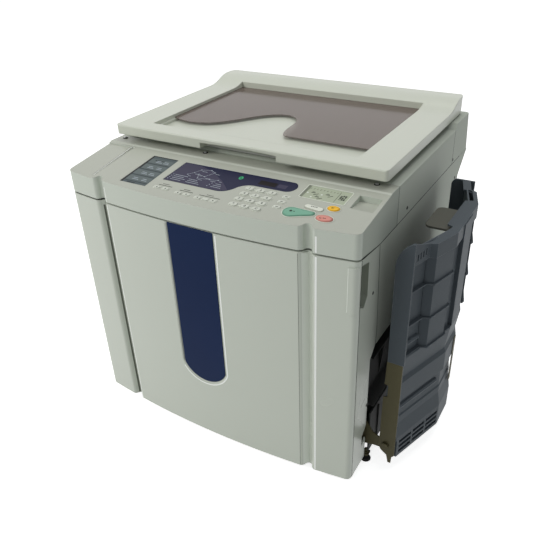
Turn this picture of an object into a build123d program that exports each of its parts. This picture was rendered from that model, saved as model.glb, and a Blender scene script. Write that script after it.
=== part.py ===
from build123d import *
from math import atan, cos, degrees, hypot, pi, radians, sin
import os

os.makedirs("parts", exist_ok=True)

# A free-standing digital stencil duplicator for A3 paper, built as its real covers, frames and units.
# Millimetres. x runs to the right, y from the front to the back, z up from the floor.

# Fits and clearances
seat = 0.3  # gap left where a cover or unit rests on its neighbour
running = 0.05  # radial clearance of a pin or shaft that turns in its bore
swing = 0.4  # clearance beside a piece that moves
seam = 1.0  # open joint between two covers

# Body
half_width = 320.0
skirt_bottom = 22.0
pan_bottom = 24.0
cover_wall = 3.0
flange = 3.0
side_split = 523.0  # height of the long seam along each side
bed_rise = 77.0  # from that seam to the top of the scanner bed
bed_top = side_split + bed_rise
panel_depth = 189.0
glass_depth = 304.0
glass_border = 15.0  # bed left in front of and behind the glass
bed_front = panel_depth + seam / 2
bed_back = bed_front + glass_depth + 2 * glass_border
cap_run = 60.5  # how far the rear cap reaches back over the rear cover
back_plane = bed_back + cap_run  # outside of the rear cover
back_lean = 59.0  # how far the cover leans back above its foot
back_bend = 47.0  # height of the steep part of that lean

# Bowed front with its two shallow channels
bow_depth = 23.0
channel_inset = 91.0
channel_x = half_width - channel_inset
channel_width = 30.0
channel_depth = 13.0
corner_radius = 12.0

# Front door
door_wall = 4.6
door_return = 33.0  # depth of the door's side and top flanges
door_top = side_split + 7.5
door_gap = 2.0
door_left = -channel_x - 0.5
door_rim = 38.0
door_sill = 34.0  # height of the flange that carries the lower hinge pin
hinge_x = door_left + 13.5
hinge_y = 24.0
hinge_pin_radius = 3.0
hinge_boss = 6.5
hinge_stock = 3.0
hinge_grip = 13.0  # length of pin inside the door
grip_width = 17.0
grip_low = door_top - 102.5
grip_high = door_top - 10.5
grip_rise = 2.5
recess_back = 66.0

# Coloured stripe let into the door
stripe_left = -57.0
stripe_right = 46.0
stripe_corner_z = 203.0
stripe_low_z = 169.0
stripe_corner = 14.0
stripe_depth = 3.2
stripe_bevel = 5.0
stripe_plate = 1.5

# Right front strip and the paper exit under it
strip_front = door_return + 1.5
strip_foot = 96.0
strip_waist = 119.0  # depth of the strip where it meets the exit opening
strip_bend = 31.0  # height of its slanting edge over that opening
strip_flange = 22.0

# Control panel
apron_bottom = side_split + 11
panel_wall = 4.0
panel_front_y = 10.0
panel_front_z = side_split + 56
panel_back_y = 150.0
panel_back_z = side_split + 75
panel_step_x = 73 - half_width
panel_step = 2.5
split_front_y = 36.0
split_back_y = 110.0
window_sink = 2.5
window_plate = 2.2
window_fit = 0.25

# Windows, as x and the distance up the panel
label_window = ((-181.0, -118.5), (14.0, 121.0))
option_window = ((173.0, 257.0), (84.0, 125.0))
display_left = -102.0
display_low = 47.5
display_high = 120.0
display_step = (20.0, 80.0, 87.0)  # where the lower edge starts to rise, where it stops, and how high
display_end = ((138.0, 88.0), (157.0, 104.0), (146.0, 123.0))

# Keys
key_rise = 1.8
key_gap = 0.4
key_lip = 1.2
lip_thick = 2.2
start_trim = 7.0  # the start key's plate stops short of the channel in the panel's front
number_columns = (77.3, 100.7, 124.2)
number_rows = (19.5, 37.9, 56.2, 74.6)
number_size = (16.0, 10.0)
number_corner = 4.5
start_ends = ((184.0, 33.0, 14.0), (220.0, 40.0, 5.5))  # x, distance up the panel and radius of each end
proof_ends = ((203.0, 59.0, 5.0), (228.0, 56.0, 5.0))
stop_place = (246.0, 34.5)
stop_radii = (15.0, 9.0)
reset_place = (247.5, 67.0)
reset_radii = (11.0, 7.5)
disc_sides = 24
mode_size = (13.0, 7.0)
mode_corner = 1.8
mode_rise = 1.2
mode_places = [(-93.4, 19.4), (-73.0, 19.4), (-41.5, 16.0), (-22.5, 16.0)]
mode_places += [(3.5, 15.0), (20.3, 15.0), (37.1, 15.0)]
side_places = [(154.0, 38.5), (154.0, 55.5), (154.0, 72.5)]

# Dish for paper clips at the panel's right end
clip_left = option_window[0][1] + 14
clip_right = half_width - 8
clip_front = 89.5
clip_back = 132.5

# Scanner bed, glass and carriage
glass_width = 440.0
glass_thick = 4.0
glass_rim = 6.0  # the raised frame round the glass
glass_ledge = 6.0
frame_margin = 14.0
carriage_width = 44.0
carriage_travel = 370.0
rail_inset = 34.0
rail_half = 3.0
rail_rise = 26.0

# Rear cap behind the bed, and the original cover with its hinges
cap_front = bed_back + seam / 2
cap_top = bed_top + 11
cap_ridge_y = back_plane + 44
cap_back = back_plane + 61
cap_corner = 10.0
lid_half_width = half_width - 13
lid_front = 161.5
lid_back = back_plane + 38.5
lid_bottom = cap_top + 4
lid_thick = 20.0
lid_top = lid_bottom + lid_thick
lid_hump = 17.0
lid_rear_top = lid_top + lid_hump
lid_wall = 3.0
lid_ramp_end = back_plane + 8
lid_ramp_start = lid_ramp_end - 84
lid_rear_radius = 26.0
lid_front_radius = 7.0
lid_rear_chamfer = 8.5
lid_edge = 3.0  # radius along the cover's upper edge
pocket_half_width = lid_half_width - 71
pocket_front = lid_front + 39.5
pocket_back = lid_back - 74.5
pocket_floor = lid_bottom + 7
pocket_gap = 5.0
pocket_ledge = 6.0
pocket_plate = 2.0
lid_grip_half = 87.0
lid_grip_depth = 24.0
lid_grip_height = 11.0
lid_axis_y = back_plane + 24
lid_axis_z = cap_top + 21
lid_pin_radius = 4.0
lid_hinge_x = 210.0
neck_width = 10.0
neck_eye = 8.0
cheek_width = 4.0

# Base and frames
pan_half_width = half_width - 20
pan_front = 60.0
pan_back = back_plane - 6
pan_wall = 2.0
pan_height = 36.0
foot_x = pan_half_width - 30
foot_front_y = 100.0
foot_back_y = pan_back - 38
foot_radius = 20.0
foot_thick = 9.0
stem_radius = 5.0
frame_plate = 3.0
frame_fold = 15.0
front_frame_y = 70.0
rear_frame_y = back_plane - 79
frame_half_width = pan_half_width - 5

# Print drum, its core and the pressure roller under it
drum_z = side_split - 143
drum_radius = 90.0
drum_wall = 3.0
drum_disc = 5.0
drum_front = front_frame_y + 12
drum_back = rear_frame_y - 13
core_radius = 42.0
core_wall = 3.5
core_inner = core_radius - core_wall
spigot_radius = 9.0
cartridge_length = 330.0
clamp_width = 16.0
pressure_radius = 30.0
nip = 0.4
shaft_radius = 6.0
bore_sides = 12  # flats of a small bearing bore, which touch the circle of its clearance
wheel_sides = 16
pressure_z = drum_z - drum_radius - nip - pressure_radius
handle_half = 46.0
handle_bar = 10.0
handle_tall = 18.0

# Paper feed side, on the left
feed_low = drum_z - 118
feed_high = side_split - 8
feed_front_y = 118.0
feed_back_y = 458.0
feed_pivot_x = -half_width - 14
feed_pivot_z = feed_low - 10
feed_pin_radius = 4.0
feed_ear = 6.0
feed_tray_thick = 9.0
feed_tray_face = feed_pivot_x - 6
feed_tray_top = feed_high - 3
feed_wall = 3.0
pickup_x = 11 - frame_half_width
pickup_z = drum_z - 35
pickup_radius = 18.0
roller_shaft = 5.0
feed_guide_height = 27.0
feed_guide_reach = 128.0
guide_plate = 3.0

# Paper exit side, on the right
slot_low = drum_z - 118
slot_high = slot_low + 28
exit_top = slot_high + 12
exit_back = 455.0
exit_panel_x = pan_half_width + seat
exit_panel_front = 82.0
slot_front = 135.0
slot_back = 425.0
slot_lip = 13.0
eject_x = frame_half_width - 25
eject_z = slot_low - 7
eject_radius = 14.0

# Units inside
unit_low = drum_z + 20
unit_high = side_split - 11
unit_out = frame_half_width - 5
unit_in = 122.0
unit_wall = 4.0
inlet_x = -150.0
inlet_z = 96.0

# Folding receiving tray
tray_mid_y = 271.0
tray_half = 172.5  # to the outside of each arm
tray_rim_x = half_width + 34
tray_edge_x = tray_rim_x + 30
tray_crown_x = tray_edge_x + 45
tray_crown_half = 34.0
tray_bottom = 46.0
tray_top = side_split + 4
tray_wall = 3.0
tray_rib = 8.0
tray_side_wall = 5.5
tray_ear_top = tray_top + 16
rim_drop = 28.0
band_depth = 6.0  # the band across the underside, out from the trough
arm_top = tray_bottom + 242
arm_plate = 2.4
arm_inner_x = tray_rim_x - 3
pivot_x = tray_rim_x + 9
pivot_z = tray_bottom + 28
stud_radius = 5.0
rib_levels = (arm_top + 17, arm_top + 84, arm_top + 156)
bay_near = 65.0  # from the tray's middle to each side of its raised bays
bay_far = 121.0
tray_rail_x = tray_rim_x + 16
tray_rail_zs = (tray_bottom + 204, tray_bottom + 222)
fence_rail_x = tray_crown_x - 23
fence_rail_half = 11.0
tray_guide_reach = 122.0


def block(xs, ys, zs):
    """A box between two opposite corners."""
    size = (xs[1] - xs[0], ys[1] - ys[0], zs[1] - zs[0])
    return Pos((xs[0] + xs[1]) / 2, (ys[0] + ys[1]) / 2, (zs[0] + zs[1]) / 2) * Box(*size)


def both(half):
    return (-half, half)


def both_at(middle, half):
    return (middle - half, middle + half)


def along_x(points, x_from, x_to):
    """A prism whose outline is given as (y, z)."""
    return extrude(Plane.YZ.offset(x_from) * make_face(Polyline(*points, close=True)), x_to - x_from)


def along_y(points, y_from, y_to):
    """A prism whose outline is given as (x, z)."""
    behind = Plane(origin=(0, y_to, 0), x_dir=(1, 0, 0), z_dir=(0, -1, 0))
    return extrude(behind * make_face(Polyline(*points, close=True)), y_to - y_from)


def along_z(points, z_from, z_to):
    """A prism whose outline is given as (x, y)."""
    return extrude(Plane.XY.offset(z_from) * make_face(Polyline(*points, close=True)), z_to - z_from)


def rod(x, z, radius, y_from, y_to):
    """A round bar along y."""
    return Pos(x, (y_from + y_to) / 2, z) * Rot(90, 0, 0) * Cylinder(radius, y_to - y_from)


def cross_rod(y, z, radius, x_from, x_to):
    """A round bar along x."""
    return Pos((x_from + x_to) / 2, y, z) * Rot(0, 90, 0) * Cylinder(radius, x_to - x_from)


def upright_rod(x, y, radius, z_from, z_to):
    """A round bar along z."""
    return Pos(x, y, (z_from + z_to) / 2) * Cylinder(radius, z_to - z_from)


def bearing_bore(x, z, radius, y_from, y_to):
    """A bore along y with flats that just clear a shaft of this radius."""
    flats = RegularPolygon(radius + running, bore_sides, major_radius=False)
    return extrude(facing_front(y_to) * Pos(x, z) * flats, y_to - y_from)


def wheel(x, z, radius, middle, width):
    """A small roller along y, of flats."""
    flats = RegularPolygon(radius, wheel_sides)
    return extrude(facing_front(middle + width / 2) * Pos(x, z) * flats, width)


def ribbon(points, thickness):
    """A closed outline that follows a bent line at one thickness, to its left."""
    shifted = []
    for k, point in enumerate(points):
        normals = []
        for a, b in zip(points[max(k - 1, 0) :][:2], points[max(k - 1, 0) + 1 :][:2]):
            length = hypot(b[0] - a[0], b[1] - a[1])
            normals.append((-(b[1] - a[1]) / length, (b[0] - a[0]) / length))
        if k == 0:
            normals = normals[:1]
        nx = sum(n[0] for n in normals) / len(normals)
        ny = sum(n[1] for n in normals) / len(normals)
        scale = thickness / (nx * nx + ny * ny)
        shifted.append((point[0] + nx * scale, point[1] + ny * scale))
    return list(points) + shifted[::-1]


def rounded_upright(solid, x, y, radius):
    """The solid with its upright edge nearest to (x, y) rounded."""
    edges = solid.edges().filter_by(Axis.Z).sort_by(lambda e: hypot(e.center().X - x, e.center().Y - y))
    return fillet(edges[0], radius)


def in_channel(x):
    return abs(abs(x) - channel_x) < channel_width / 2


def front_line(x):
    """How far back the bowed front surface lies at x."""
    y = bow_depth * (x / half_width) ** 2
    if in_channel(x):
        y += channel_depth * (1 + cos(2 * pi * (abs(x) - channel_x) / channel_width)) / 2
    return y


def front_edges(x_from, x_to, inset):
    """The front surface in plan, as arcs that meet where each channel starts and where it turns."""
    turns = [s * channel_x + t * channel_width / 4 for s in (-1, 1) for t in (-2, -1, 1, 2)]
    stops = [x_from] + sorted(x for x in turns if x_from < x < x_to) + [x_to]
    edges = []
    for start, end in zip(stops, stops[1:]):
        points = [(x, front_line(x) + inset) for x in (start, (start + end) / 2, end)]
        edges.append(ThreePointArc(*points))
    return edges


def front_prism(x_from, x_to, inset, behind, z_from, z_to):
    """The space behind the front surface, closed by the points given from right to left."""
    first = (x_from, front_line(x_from) + inset)
    last = (x_to, front_line(x_to) + inset)
    edges = front_edges(x_from, x_to, inset) + [Polyline(last, *behind, first)]
    return extrude(Plane.XY.offset(z_from) * make_face(edges), z_to - z_from)


def rounded_front(x_from, x_to, inset, back, z_from, z_to, radius=corner_radius):
    """A bowed solid with its right front corner rounded, cut off flat at its back."""
    far = back + 80
    solid = front_prism(x_from, x_to, inset, [(x_to, far), (x_from, far)], z_from, z_to)
    solid = rounded_upright(solid, x_to, front_line(x_to) + inset, radius)
    return solid - block((x_from - 1, x_to + 1), (back, far + 1), (z_from - 1, z_to + 1))


def split_cut(front_z, side_z, below):
    """What lies under or over the sloping joint between the control panel and the covers beneath it."""
    far = skirt_bottom - 90 if below else bed_top + 90
    before, behind = -50, cap_back + 90
    line = [(before, front_z), (split_front_y, front_z), (split_back_y, side_z), (behind, side_z)]
    return along_x(line + [(behind, far), (before, far)], *both(half_width + 50))


# Base pan, feet and the two upright frames


def make_base_pan():
    top = pan_bottom + pan_height
    pan = block(both(pan_half_width), (pan_front, pan_back), (pan_bottom, top))
    inside = (pan_front + pan_wall, pan_back - pan_wall)
    pan -= block(both(pan_half_width - pan_wall), inside, (pan_bottom + pan_wall, top + 1))
    for x in (-foot_x, foot_x):
        for y in (foot_front_y, foot_back_y):
            pan += Pos(x, y, pan_bottom + pan_wall + 2) * Box(28, 28, 8)
            pan -= Pos(x, y, pan_bottom - 1) * extrude(RegularPolygon(stem_radius + 0.2, 6), 20)
    return pan


def make_feet():
    """Round pads with a nut against the pan and a stem up into its boss."""
    feet = []
    for x in (-foot_x, foot_x):
        for y in (foot_front_y, foot_back_y):
            pad = extrude(RegularPolygon(foot_radius, wheel_sides), foot_thick)
            nut = Pos(0, 0, foot_thick) * extrude(RegularPolygon(11, 6), pan_bottom - seat - foot_thick)
            stem = Pos(0, 0, foot_thick) * extrude(RegularPolygon(stem_radius, 6), pan_bottom - 3)
            feet.append(Pos(x, y, 0) * (pad + nut + stem))
    return feet


def frame_blank(y_from):
    """An upright steel frame with the bores that the shafts run in."""
    low = pan_bottom + pan_wall
    plate = block(both(frame_half_width), (y_from, y_from + frame_plate), (low, side_split + seam))
    fold = (y_from - frame_fold, y_from + 0.5) if y_from > tray_mid_y else (y_from, y_from + frame_fold)
    plate += block(both(frame_half_width), fold, (side_split - frame_plate, side_split + seam))
    ends = (y_from - 1, y_from + frame_plate + 1)
    plate -= bearing_bore(pickup_x, pickup_z, roller_shaft, *ends)
    plate -= bearing_bore(eject_x, eject_z, roller_shaft, *ends)
    plate -= bearing_bore(0, pressure_z, shaft_radius, *ends)
    return plate, ends


def make_front_frame():
    plate, ends = frame_blank(front_frame_y)
    return plate - rod(0, drum_z, drum_radius + 4, *ends)


def make_rear_frame():
    plate, ends = frame_blank(rear_frame_y)
    return plate - rod(0, drum_z, spigot_radius + running, *ends)


# Covers


def make_left_column():
    right = door_left - door_gap
    back = split_back_y
    behind = [(right, back), (-half_width, back)]
    tall = side_split + 20
    shell = front_prism(-half_width, right, 0, behind, skirt_bottom, tall)
    shell = rounded_upright(shell, -half_width, bow_depth, corner_radius)
    inner = [(right - cover_wall, back + 1), (cover_wall - half_width, back + 1)]
    inside = cover_wall - half_width
    zs = (skirt_bottom + flange, tall)
    hollow = front_prism(inside, right - cover_wall, cover_wall, inner, *zs)
    shell -= rounded_upright(hollow, inside, bow_depth + cover_wall, corner_radius - cover_wall)
    shell -= block((inside, 0), (door_rim + 4, back + 1), zs)
    reach = -pan_half_width - seat
    shell -= block((reach, 0), (pan_front - seat, back + 1), (0, tall))
    return shell - split_cut(door_top, side_split, False)


def make_right_strip():
    front = strip_front
    tall = side_split + 37
    outline = [(front, skirt_bottom), (strip_foot, skirt_bottom), (strip_foot, exit_top - 20)]
    outline += [(strip_waist, exit_top), (strip_waist + 3, exit_top + strip_bend)]
    outline += [(split_back_y, side_split), (split_back_y - 3, tall), (front, tall)]
    strip = along_x(outline, half_width - cover_wall, half_width)
    notch_y, notch_z = strip_foot - 19, skirt_bottom + 45
    notch = [(notch_y, notch_z), (notch_y + 23, notch_z + 13)]
    notch += [(notch_y + 23, notch_z + 49), (notch_y, notch_z + 29)]
    strip -= along_x(notch, half_width - 5, half_width + 1)
    post = (front, front + cover_wall)
    inward = half_width - cover_wall - strip_flange
    strip += block((inward, half_width - 1), post, (skirt_bottom, tall))
    foot = (skirt_bottom, skirt_bottom + flange)
    strip += block((pan_half_width + seat, half_width - 1), (front, strip_foot), foot)
    slot = make_face(
        Polyline(
            (front - 1, grip_low + 10),
            (recess_back - 14, grip_low - 2),
            (recess_back, grip_low + 16),
            (recess_back, grip_high - 8),
            (front - 1, grip_high),
            close=True,
        )
    )
    strip -= extrude(Plane.YZ.offset(inward - 1) * slot, 40)
    return strip - split_cut(door_top, side_split, False)


def side_plate(points, side):
    """One wall of a side cover on the left (-1) or right (1)."""
    inner = half_width - cover_wall
    return along_x(points, inner, half_width) if side > 0 else along_x(points, -half_width, -inner)


def side_return(ys, zs, side):
    """A flange from a side cover in to the pan."""
    inner = half_width - cover_wall + 1
    xs = (pan_half_width + seat, inner) if side > 0 else (-inner, -pan_half_width - seat)
    return block(xs, ys, zs)


rear_slope = [
    (back_plane, skirt_bottom),
    (back_plane, side_split - back_bend - 36),
    (back_plane + 6, side_split - back_bend),
    (back_plane + back_lean, side_split),
]


def make_right_cover():
    rear = rear_slope[::-1]
    front = strip_waist + seam + 0.5
    outline = rear + [(exit_back, skirt_bottom), (exit_back, exit_top), (front, exit_top)]
    outline += [(front + 3, exit_top + strip_bend), (split_back_y + seam + 0.5, side_split)]
    cover = side_plate(outline, 1)
    cover += side_return((front, exit_back + flange), (exit_top, exit_top + flange), 1)
    cover += side_return((exit_back, exit_back + flange), (skirt_bottom, exit_top + 1), 1)
    cover += side_return((exit_back, pan_back), (skirt_bottom, skirt_bottom + flange), 1)
    return cover


def make_left_cover():
    front = split_back_y + seam
    outline = rear_slope[::-1] + [(front, skirt_bottom), (front, side_split)]
    cover = side_plate(outline, -1)
    cover += side_return((front, pan_back), (skirt_bottom, skirt_bottom + flange), -1)
    mouth = (feed_front_y, feed_back_y)
    cover -= block((-half_width - 1, cover_wall - half_width + 1), mouth, (feed_low, feed_high))
    sill = (feed_low - flange, feed_low)
    cover += block((cover_wall - half_width - 1, -pan_half_width), mouth, sill)
    ear = [(cover_wall - half_width, feed_pivot_z - 22), (cover_wall - half_width, feed_pivot_z + 22)]
    ear += [(feed_pivot_x - 4, feed_pivot_z + 8), (feed_pivot_x - 8, feed_pivot_z)]
    ear += [(feed_pivot_x - 4, feed_pivot_z - 8)]
    for y in feed_ears:
        cover += along_y(ear, y, y + feed_ear)
        cover -= bearing_bore(feed_pivot_x, feed_pivot_z, feed_pin_radius, y - 1, y + feed_ear + 1)
    return cover


def make_exit_panel():
    low = skirt_bottom + flange + seat
    ys = (exit_panel_front, exit_back - seat)
    panel = block((exit_panel_x, exit_panel_x + cover_wall), ys, (low, exit_top - seat))
    panel -= block((exit_panel_x - 1, exit_panel_x + 9), (slot_front, slot_back), (slot_low, slot_high))
    tip = exit_panel_x + slot_lip
    lip = [(exit_panel_x, slot_low), (tip, slot_low - 7), (tip, slot_low - 10), (exit_panel_x, slot_low - 5)]
    panel += along_y(lip, slot_front, slot_back)
    for k in range(3):
        y = slot_front + 62 + k * 83
        rib = [(exit_panel_x + 1, slot_low - 4), (tip, slot_low - 9), (exit_panel_x + 1, slot_low - 112)]
        panel += along_y(rib, y - 1.5, y + 1.5)
    return panel


def make_rear_cover():
    inside = half_width - cover_wall - seat
    line = rear_slope[:-1] + [(rear_slope[-1][0] + 5.6, side_split + 5)]
    cover = along_x(ribbon(line, cover_wall), -inside, inside)
    cover -= block(both(half_width), (pan_back, 700), (side_split, side_split + 20))
    low = (skirt_bottom, skirt_bottom + flange)
    cover += block(both(inside), (pan_back + seat, back_plane), low)
    through = (back_plane - 10, back_plane + 5)
    for row in range(7):
        z = side_split - 273 + row * 13
        cover -= block((90, 220), through, (z, z + 4.5))
    cover -= block(both_at(inlet_x, 17), through, both_at(inlet_z, 13))
    return cover


def make_rear_cap():
    outline = [(cap_front, side_split + seam), (cap_front, bed_top), (cap_front + 14, cap_top)]
    outline += [(cap_ridge_y, cap_top), (cap_back, side_split + seam)]
    cap = along_x(outline, *both(half_width))
    slanted = cap.edges().filter_by(lambda e: abs(e.center().X) > half_width - 1)
    slanted = slanted.filter_by(lambda e: e.center().Y > cap_ridge_y)
    slanted = slanted.filter_by(lambda e: abs(e.tangent_at(0.5).Z) > 0.5)
    cap = fillet(slanted, cap_corner)
    w = cover_wall
    hollow = [(cap_front + w, side_split), (cap_front + w, bed_top - w), (cap_front + 15, cap_top - w)]
    hollow += [(cap_ridge_y - w, cap_top - w), (cap_back - w - 0.2, side_split)]
    inner = along_x(hollow, *both(half_width - w))
    slanted = inner.edges().filter_by(lambda e: abs(e.center().X) > half_width - w - 1)
    slanted = slanted.filter_by(lambda e: e.center().Y > cap_ridge_y - w and abs(e.tangent_at(0.5).Z) > 0.5)
    return cap - fillet(slanted, cap_corner - w)


# Control panel, with the windows and keys set square to its slope

panel_angle = degrees(atan((panel_back_z - panel_front_z) / (panel_back_y - panel_front_y)))
panel_normal = (0, -sin(radians(panel_angle)), cos(radians(panel_angle)))
panel_plane = Plane(origin=(0, panel_front_y, panel_front_z), x_dir=(1, 0, 0), z_dir=panel_normal)


def on_panel(sketch, low, high):
    """A prism on the sloping panel between two heights above its surface."""
    return extrude(panel_plane * Pos(0, 0, low) * sketch, high - low)


def patch(xs, ss):
    """A rectangle on the panel from its corners."""
    return Pos((xs[0] + xs[1]) / 2, (ss[0] + ss[1]) / 2) * Rectangle(xs[1] - xs[0], ss[1] - ss[0])


def window_outlines(grow=0.0):
    """Outlines of the label window, the option window and the display, widened by grow."""
    g = grow
    corners = (label_window, option_window)
    plain = [patch((xs[0] - g, xs[1] + g), (ss[0] - g, ss[1] + g)) for xs, ss in corners]
    start, stop, high = display_step
    first, last = (start, display_low - g), (stop, high - g)
    middle = ((start + stop) / 2 + g / 2, (display_low + high) / 2 - g / 2)
    rise = [TangentArc(first, middle, tangent=(1, 0)), TangentArc(last, middle, tangent=(-1, 0))]
    (foot_x_end, foot_s), (tip_x, tip_s), (head_x, head_s) = display_end
    foot, head = (foot_x_end, foot_s - g), (head_x + g, head_s + g)
    end = ThreePointArc(foot, (tip_x + g, tip_s), head)
    left, high = display_left - g, display_high + g
    rest = Polyline(head, (left + 3, high), (left, display_low - g), first)
    return plain + [make_face(rise + [Line(last, foot), end, rest])]


def make_control_panel():
    side = [(half_width, panel_depth), (-half_width, panel_depth)]
    low = side_split + seam
    plan = front_prism(-half_width, half_width, 0, side, low, bed_top + 5)
    for x in both(half_width):
        plan = rounded_upright(plan, x, bow_depth, corner_radius)
    inner = half_width - panel_wall
    back = panel_depth - panel_wall
    hollow = front_prism(-inner, inner, panel_wall, [(inner, back), (-inner, back)], low - 20, bed_top + 5)
    for x in both(inner):
        hollow = rounded_upright(hollow, x, bow_depth + panel_wall, corner_radius - panel_wall)
    shell = plan & along_x(panel_profile(0), *both(half_width + 1))
    shell -= hollow & along_x(panel_profile(panel_wall), *both(half_width + 1))
    ys = (clip_front - 9.5, clip_back + 12.5)
    bridge = block((clip_left - 6, half_width - 1), ys, (panel_front_z, panel_back_z))
    shell += bridge & along_x(panel_profile(0), *both(half_width + 1)) & plan
    shell -= on_panel(patch((-half_width - 5, panel_step_x), (-40, panel_span - 4)), -panel_step, 20)
    shell -= along_x(clip_profile(), clip_left, clip_right)
    for outline in window_outlines():
        shell -= on_panel(outline, -window_sink, 5)
    for outline in key_outlines(key_gap).values():
        shell -= on_panel(outline, -panel_wall - 10, 5)
    return shell - split_cut(apron_bottom, side_split + seam, True)


panel_span = hypot(panel_back_y - panel_front_y, panel_back_z - panel_front_z)


def panel_profile(drop):
    """The panel's side view, dropped by a wall thickness for its inside."""
    rise = (panel_back_z - panel_front_z) / (panel_back_y - panel_front_y)
    start = panel_front_z + (-5 - panel_front_y) * rise
    low = side_split - 20
    top = [(-5, start - drop), (panel_back_y, panel_back_z - drop), (panel_back_y + 4, bed_top - drop)]
    return top + [(panel_depth + 1, bed_top - drop), (panel_depth + 1, low), (-5, low)]


def clip_profile():
    """Side view of the sloping dish for paper clips, cut into the panel's right end."""
    rise = (panel_back_z - panel_front_z) / (panel_back_y - panel_front_y)
    high = panel_front_z + (clip_front - panel_front_y) * rise
    over = bed_top + 9
    return [(clip_front, high - 2), (clip_back, high - 5), (clip_back, over), (clip_front, over)]


def cut_corners(size, corner):
    """A small rectangle with its corners cut off."""
    x, y = size[0] / 2, size[1] / 2
    c = corner
    right = [(x - c, -y), (x, c - y), (x, y - c), (x - c, y)]
    left = [(-px, -py) for px, py in right]
    return make_face(Polyline(*right, *left, close=True))


def soft_corners(size, corner, grow=0.0):
    """A small rectangle whose corners turn in three short facets, widened by grow."""
    half_x, half_y = size[0] / 2 + grow, size[1] / 2 + grow
    points = []
    for quarter in range(4):
        sx, sy = ((1, 1), (-1, 1), (-1, -1), (1, -1))[quarter]
        for k in range(3):
            angle = radians(90 * quarter + 45 * k)
            x = sx * (half_x - corner) + corner * cos(angle)
            points.append((x, sy * (half_y - corner) + corner * sin(angle)))
    return make_face(Polyline(*points, close=True))


def drop_shape(ends, grow):
    """The outline round two many-sided discs, each given as (x, s, radius)."""
    discs = [Pos(x, s) * RegularPolygon(r + grow, disc_sides) for x, s, r in ends]
    return make_hull([edge for disc in discs for edge in disc.edges()])


def oval(place, radii, grow):
    """An ellipse of many sides."""
    turns = [2 * pi * k / disc_sides for k in range(disc_sides)]
    points = [((radii[0] + grow) * cos(a), (radii[1] + grow) * sin(a)) for a in turns]
    return Pos(*place) * make_face(Polyline(*points, close=True))


def key_outlines(grow=0.0):
    """Outline of every key that travels, by name, on the panel's surface, widened by grow."""
    names = [["key_star", "key_0", "key_clear"], ["key_7", "key_8", "key_9"]]
    names += [["key_4", "key_5", "key_6"], ["key_1", "key_2", "key_3"]]
    outlines = {}
    for row, s in zip(names, number_rows):
        for name, x in zip(row, number_columns):
            outlines[name] = Pos(x, s) * soft_corners(number_size, number_corner, grow)
    outlines["start_key"] = drop_shape(start_ends, grow)
    outlines["proof_key"] = drop_shape(proof_ends, grow) - drop_shape(start_ends, 3.6 - grow)
    outlines["stop_key"] = oval(stop_place, stop_radii, grow)
    outlines["reset_key"] = oval(reset_place, reset_radii, grow)
    return outlines


def make_keys():
    """Key caps that rise through the panel, each on a plate that is too wide to come out."""
    lip_top = -panel_wall - seat
    keys = {}
    for name, outline in key_outlines().items():
        box = outline.bounding_box()
        clear = start_trim if name == "start_key" else -key_lip
        plate = patch((box.min.X - key_lip, box.max.X + key_lip), (box.min.Y + clear, box.max.Y - clear))
        keys[name] = on_panel(outline, lip_top - 1, key_rise) + on_panel(plate, lip_top - lip_thick, lip_top)
    return keys


def make_mode_keys():
    outline = cut_corners(mode_size, mode_corner)
    return [on_panel(Pos(*place) * outline, 0, mode_rise) for place in mode_places + side_places]


def make_windows():
    top = window_plate - window_sink
    return [on_panel(outline, -window_sink, top) for outline in window_outlines(-window_fit)]


# Front door with its stripe, hinge bosses and grip


def stripe_outline(margin, top):
    """The stripe's outline on the door, wider by a margin: straight sides and an arched foot."""
    left, right = stripe_left - margin, stripe_right + margin
    turn = stripe_corner_z
    foot = ThreePointArc((right, turn), ((left + right) / 2, stripe_low_z - margin), (left, turn))
    face = make_face([foot, Polyline((left, turn), (left, top), (right, top), (right, turn))])
    corners = face.vertices().filter_by(lambda v: abs(v.Y - turn) < 1)
    return fillet(corners, stripe_corner)


def facing_front(y):
    """A sketch plane at depth y, drawn as (x, z) and looking out of the machine."""
    return Plane(origin=(0, y, 0), x_dir=(1, 0, 0), z_dir=(0, -1, 0))


def make_front_door():
    right = half_width - cover_wall
    left = door_left + cover_wall
    door = rounded_front(door_left, half_width, 0, door_return, skirt_bottom, door_top)
    rim_front = front_line(door_left) + 1
    door += block((door_left, left), (rim_front, door_rim), (door_sill, door_top))
    grip_left = half_width - grip_width
    door += rounded_front(grip_left, half_width, -grip_rise, door_return, grip_low, grip_high)
    inside = corner_radius - cover_wall
    door -= rounded_front(left, right, door_wall, 60, door_sill + flange, door_top - flange, inside)
    door -= rounded_front(door_left - 1, right, door_wall, 60, skirt_bottom - 1, door_sill, inside)
    for low, high in ((door_sill, door_sill + hinge_grip + 1), (door_top - hinge_grip - 2, door_top)):
        door += block(both_at(hinge_x, hinge_boss), both_at(hinge_y, hinge_boss), (low, high))
        flats = RegularPolygon(hinge_pin_radius + running, bore_sides, major_radius=False)
        door -= Pos(hinge_x, hinge_y, low - 1) * extrude(flats, high - low + 2)
    flat = facing_front(stripe_depth) * stripe_outline(0, door_top + 2 * stripe_bevel)
    spread = degrees(atan(stripe_bevel / stripe_depth))
    return door - extrude(flat, stripe_depth, taper=-spread)


def make_door_stripe():
    plate = extrude(facing_front(stripe_depth) * stripe_outline(-seat, door_top - 0.5), stripe_plate)
    return plate


def hinge_tongue(back, z):
    """A flat tongue from a pin back to the plate that carries it."""
    half, side, tip = 9.0, 4.5, hinge_y - hinge_pin_radius
    left = [(hinge_x - half, back), (hinge_x - half, back - 12), (hinge_x - side, tip)]
    right = [(2 * hinge_x - x, y) for x, y in reversed(left)]
    return along_z(left + right, z, z + hinge_stock)


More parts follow.
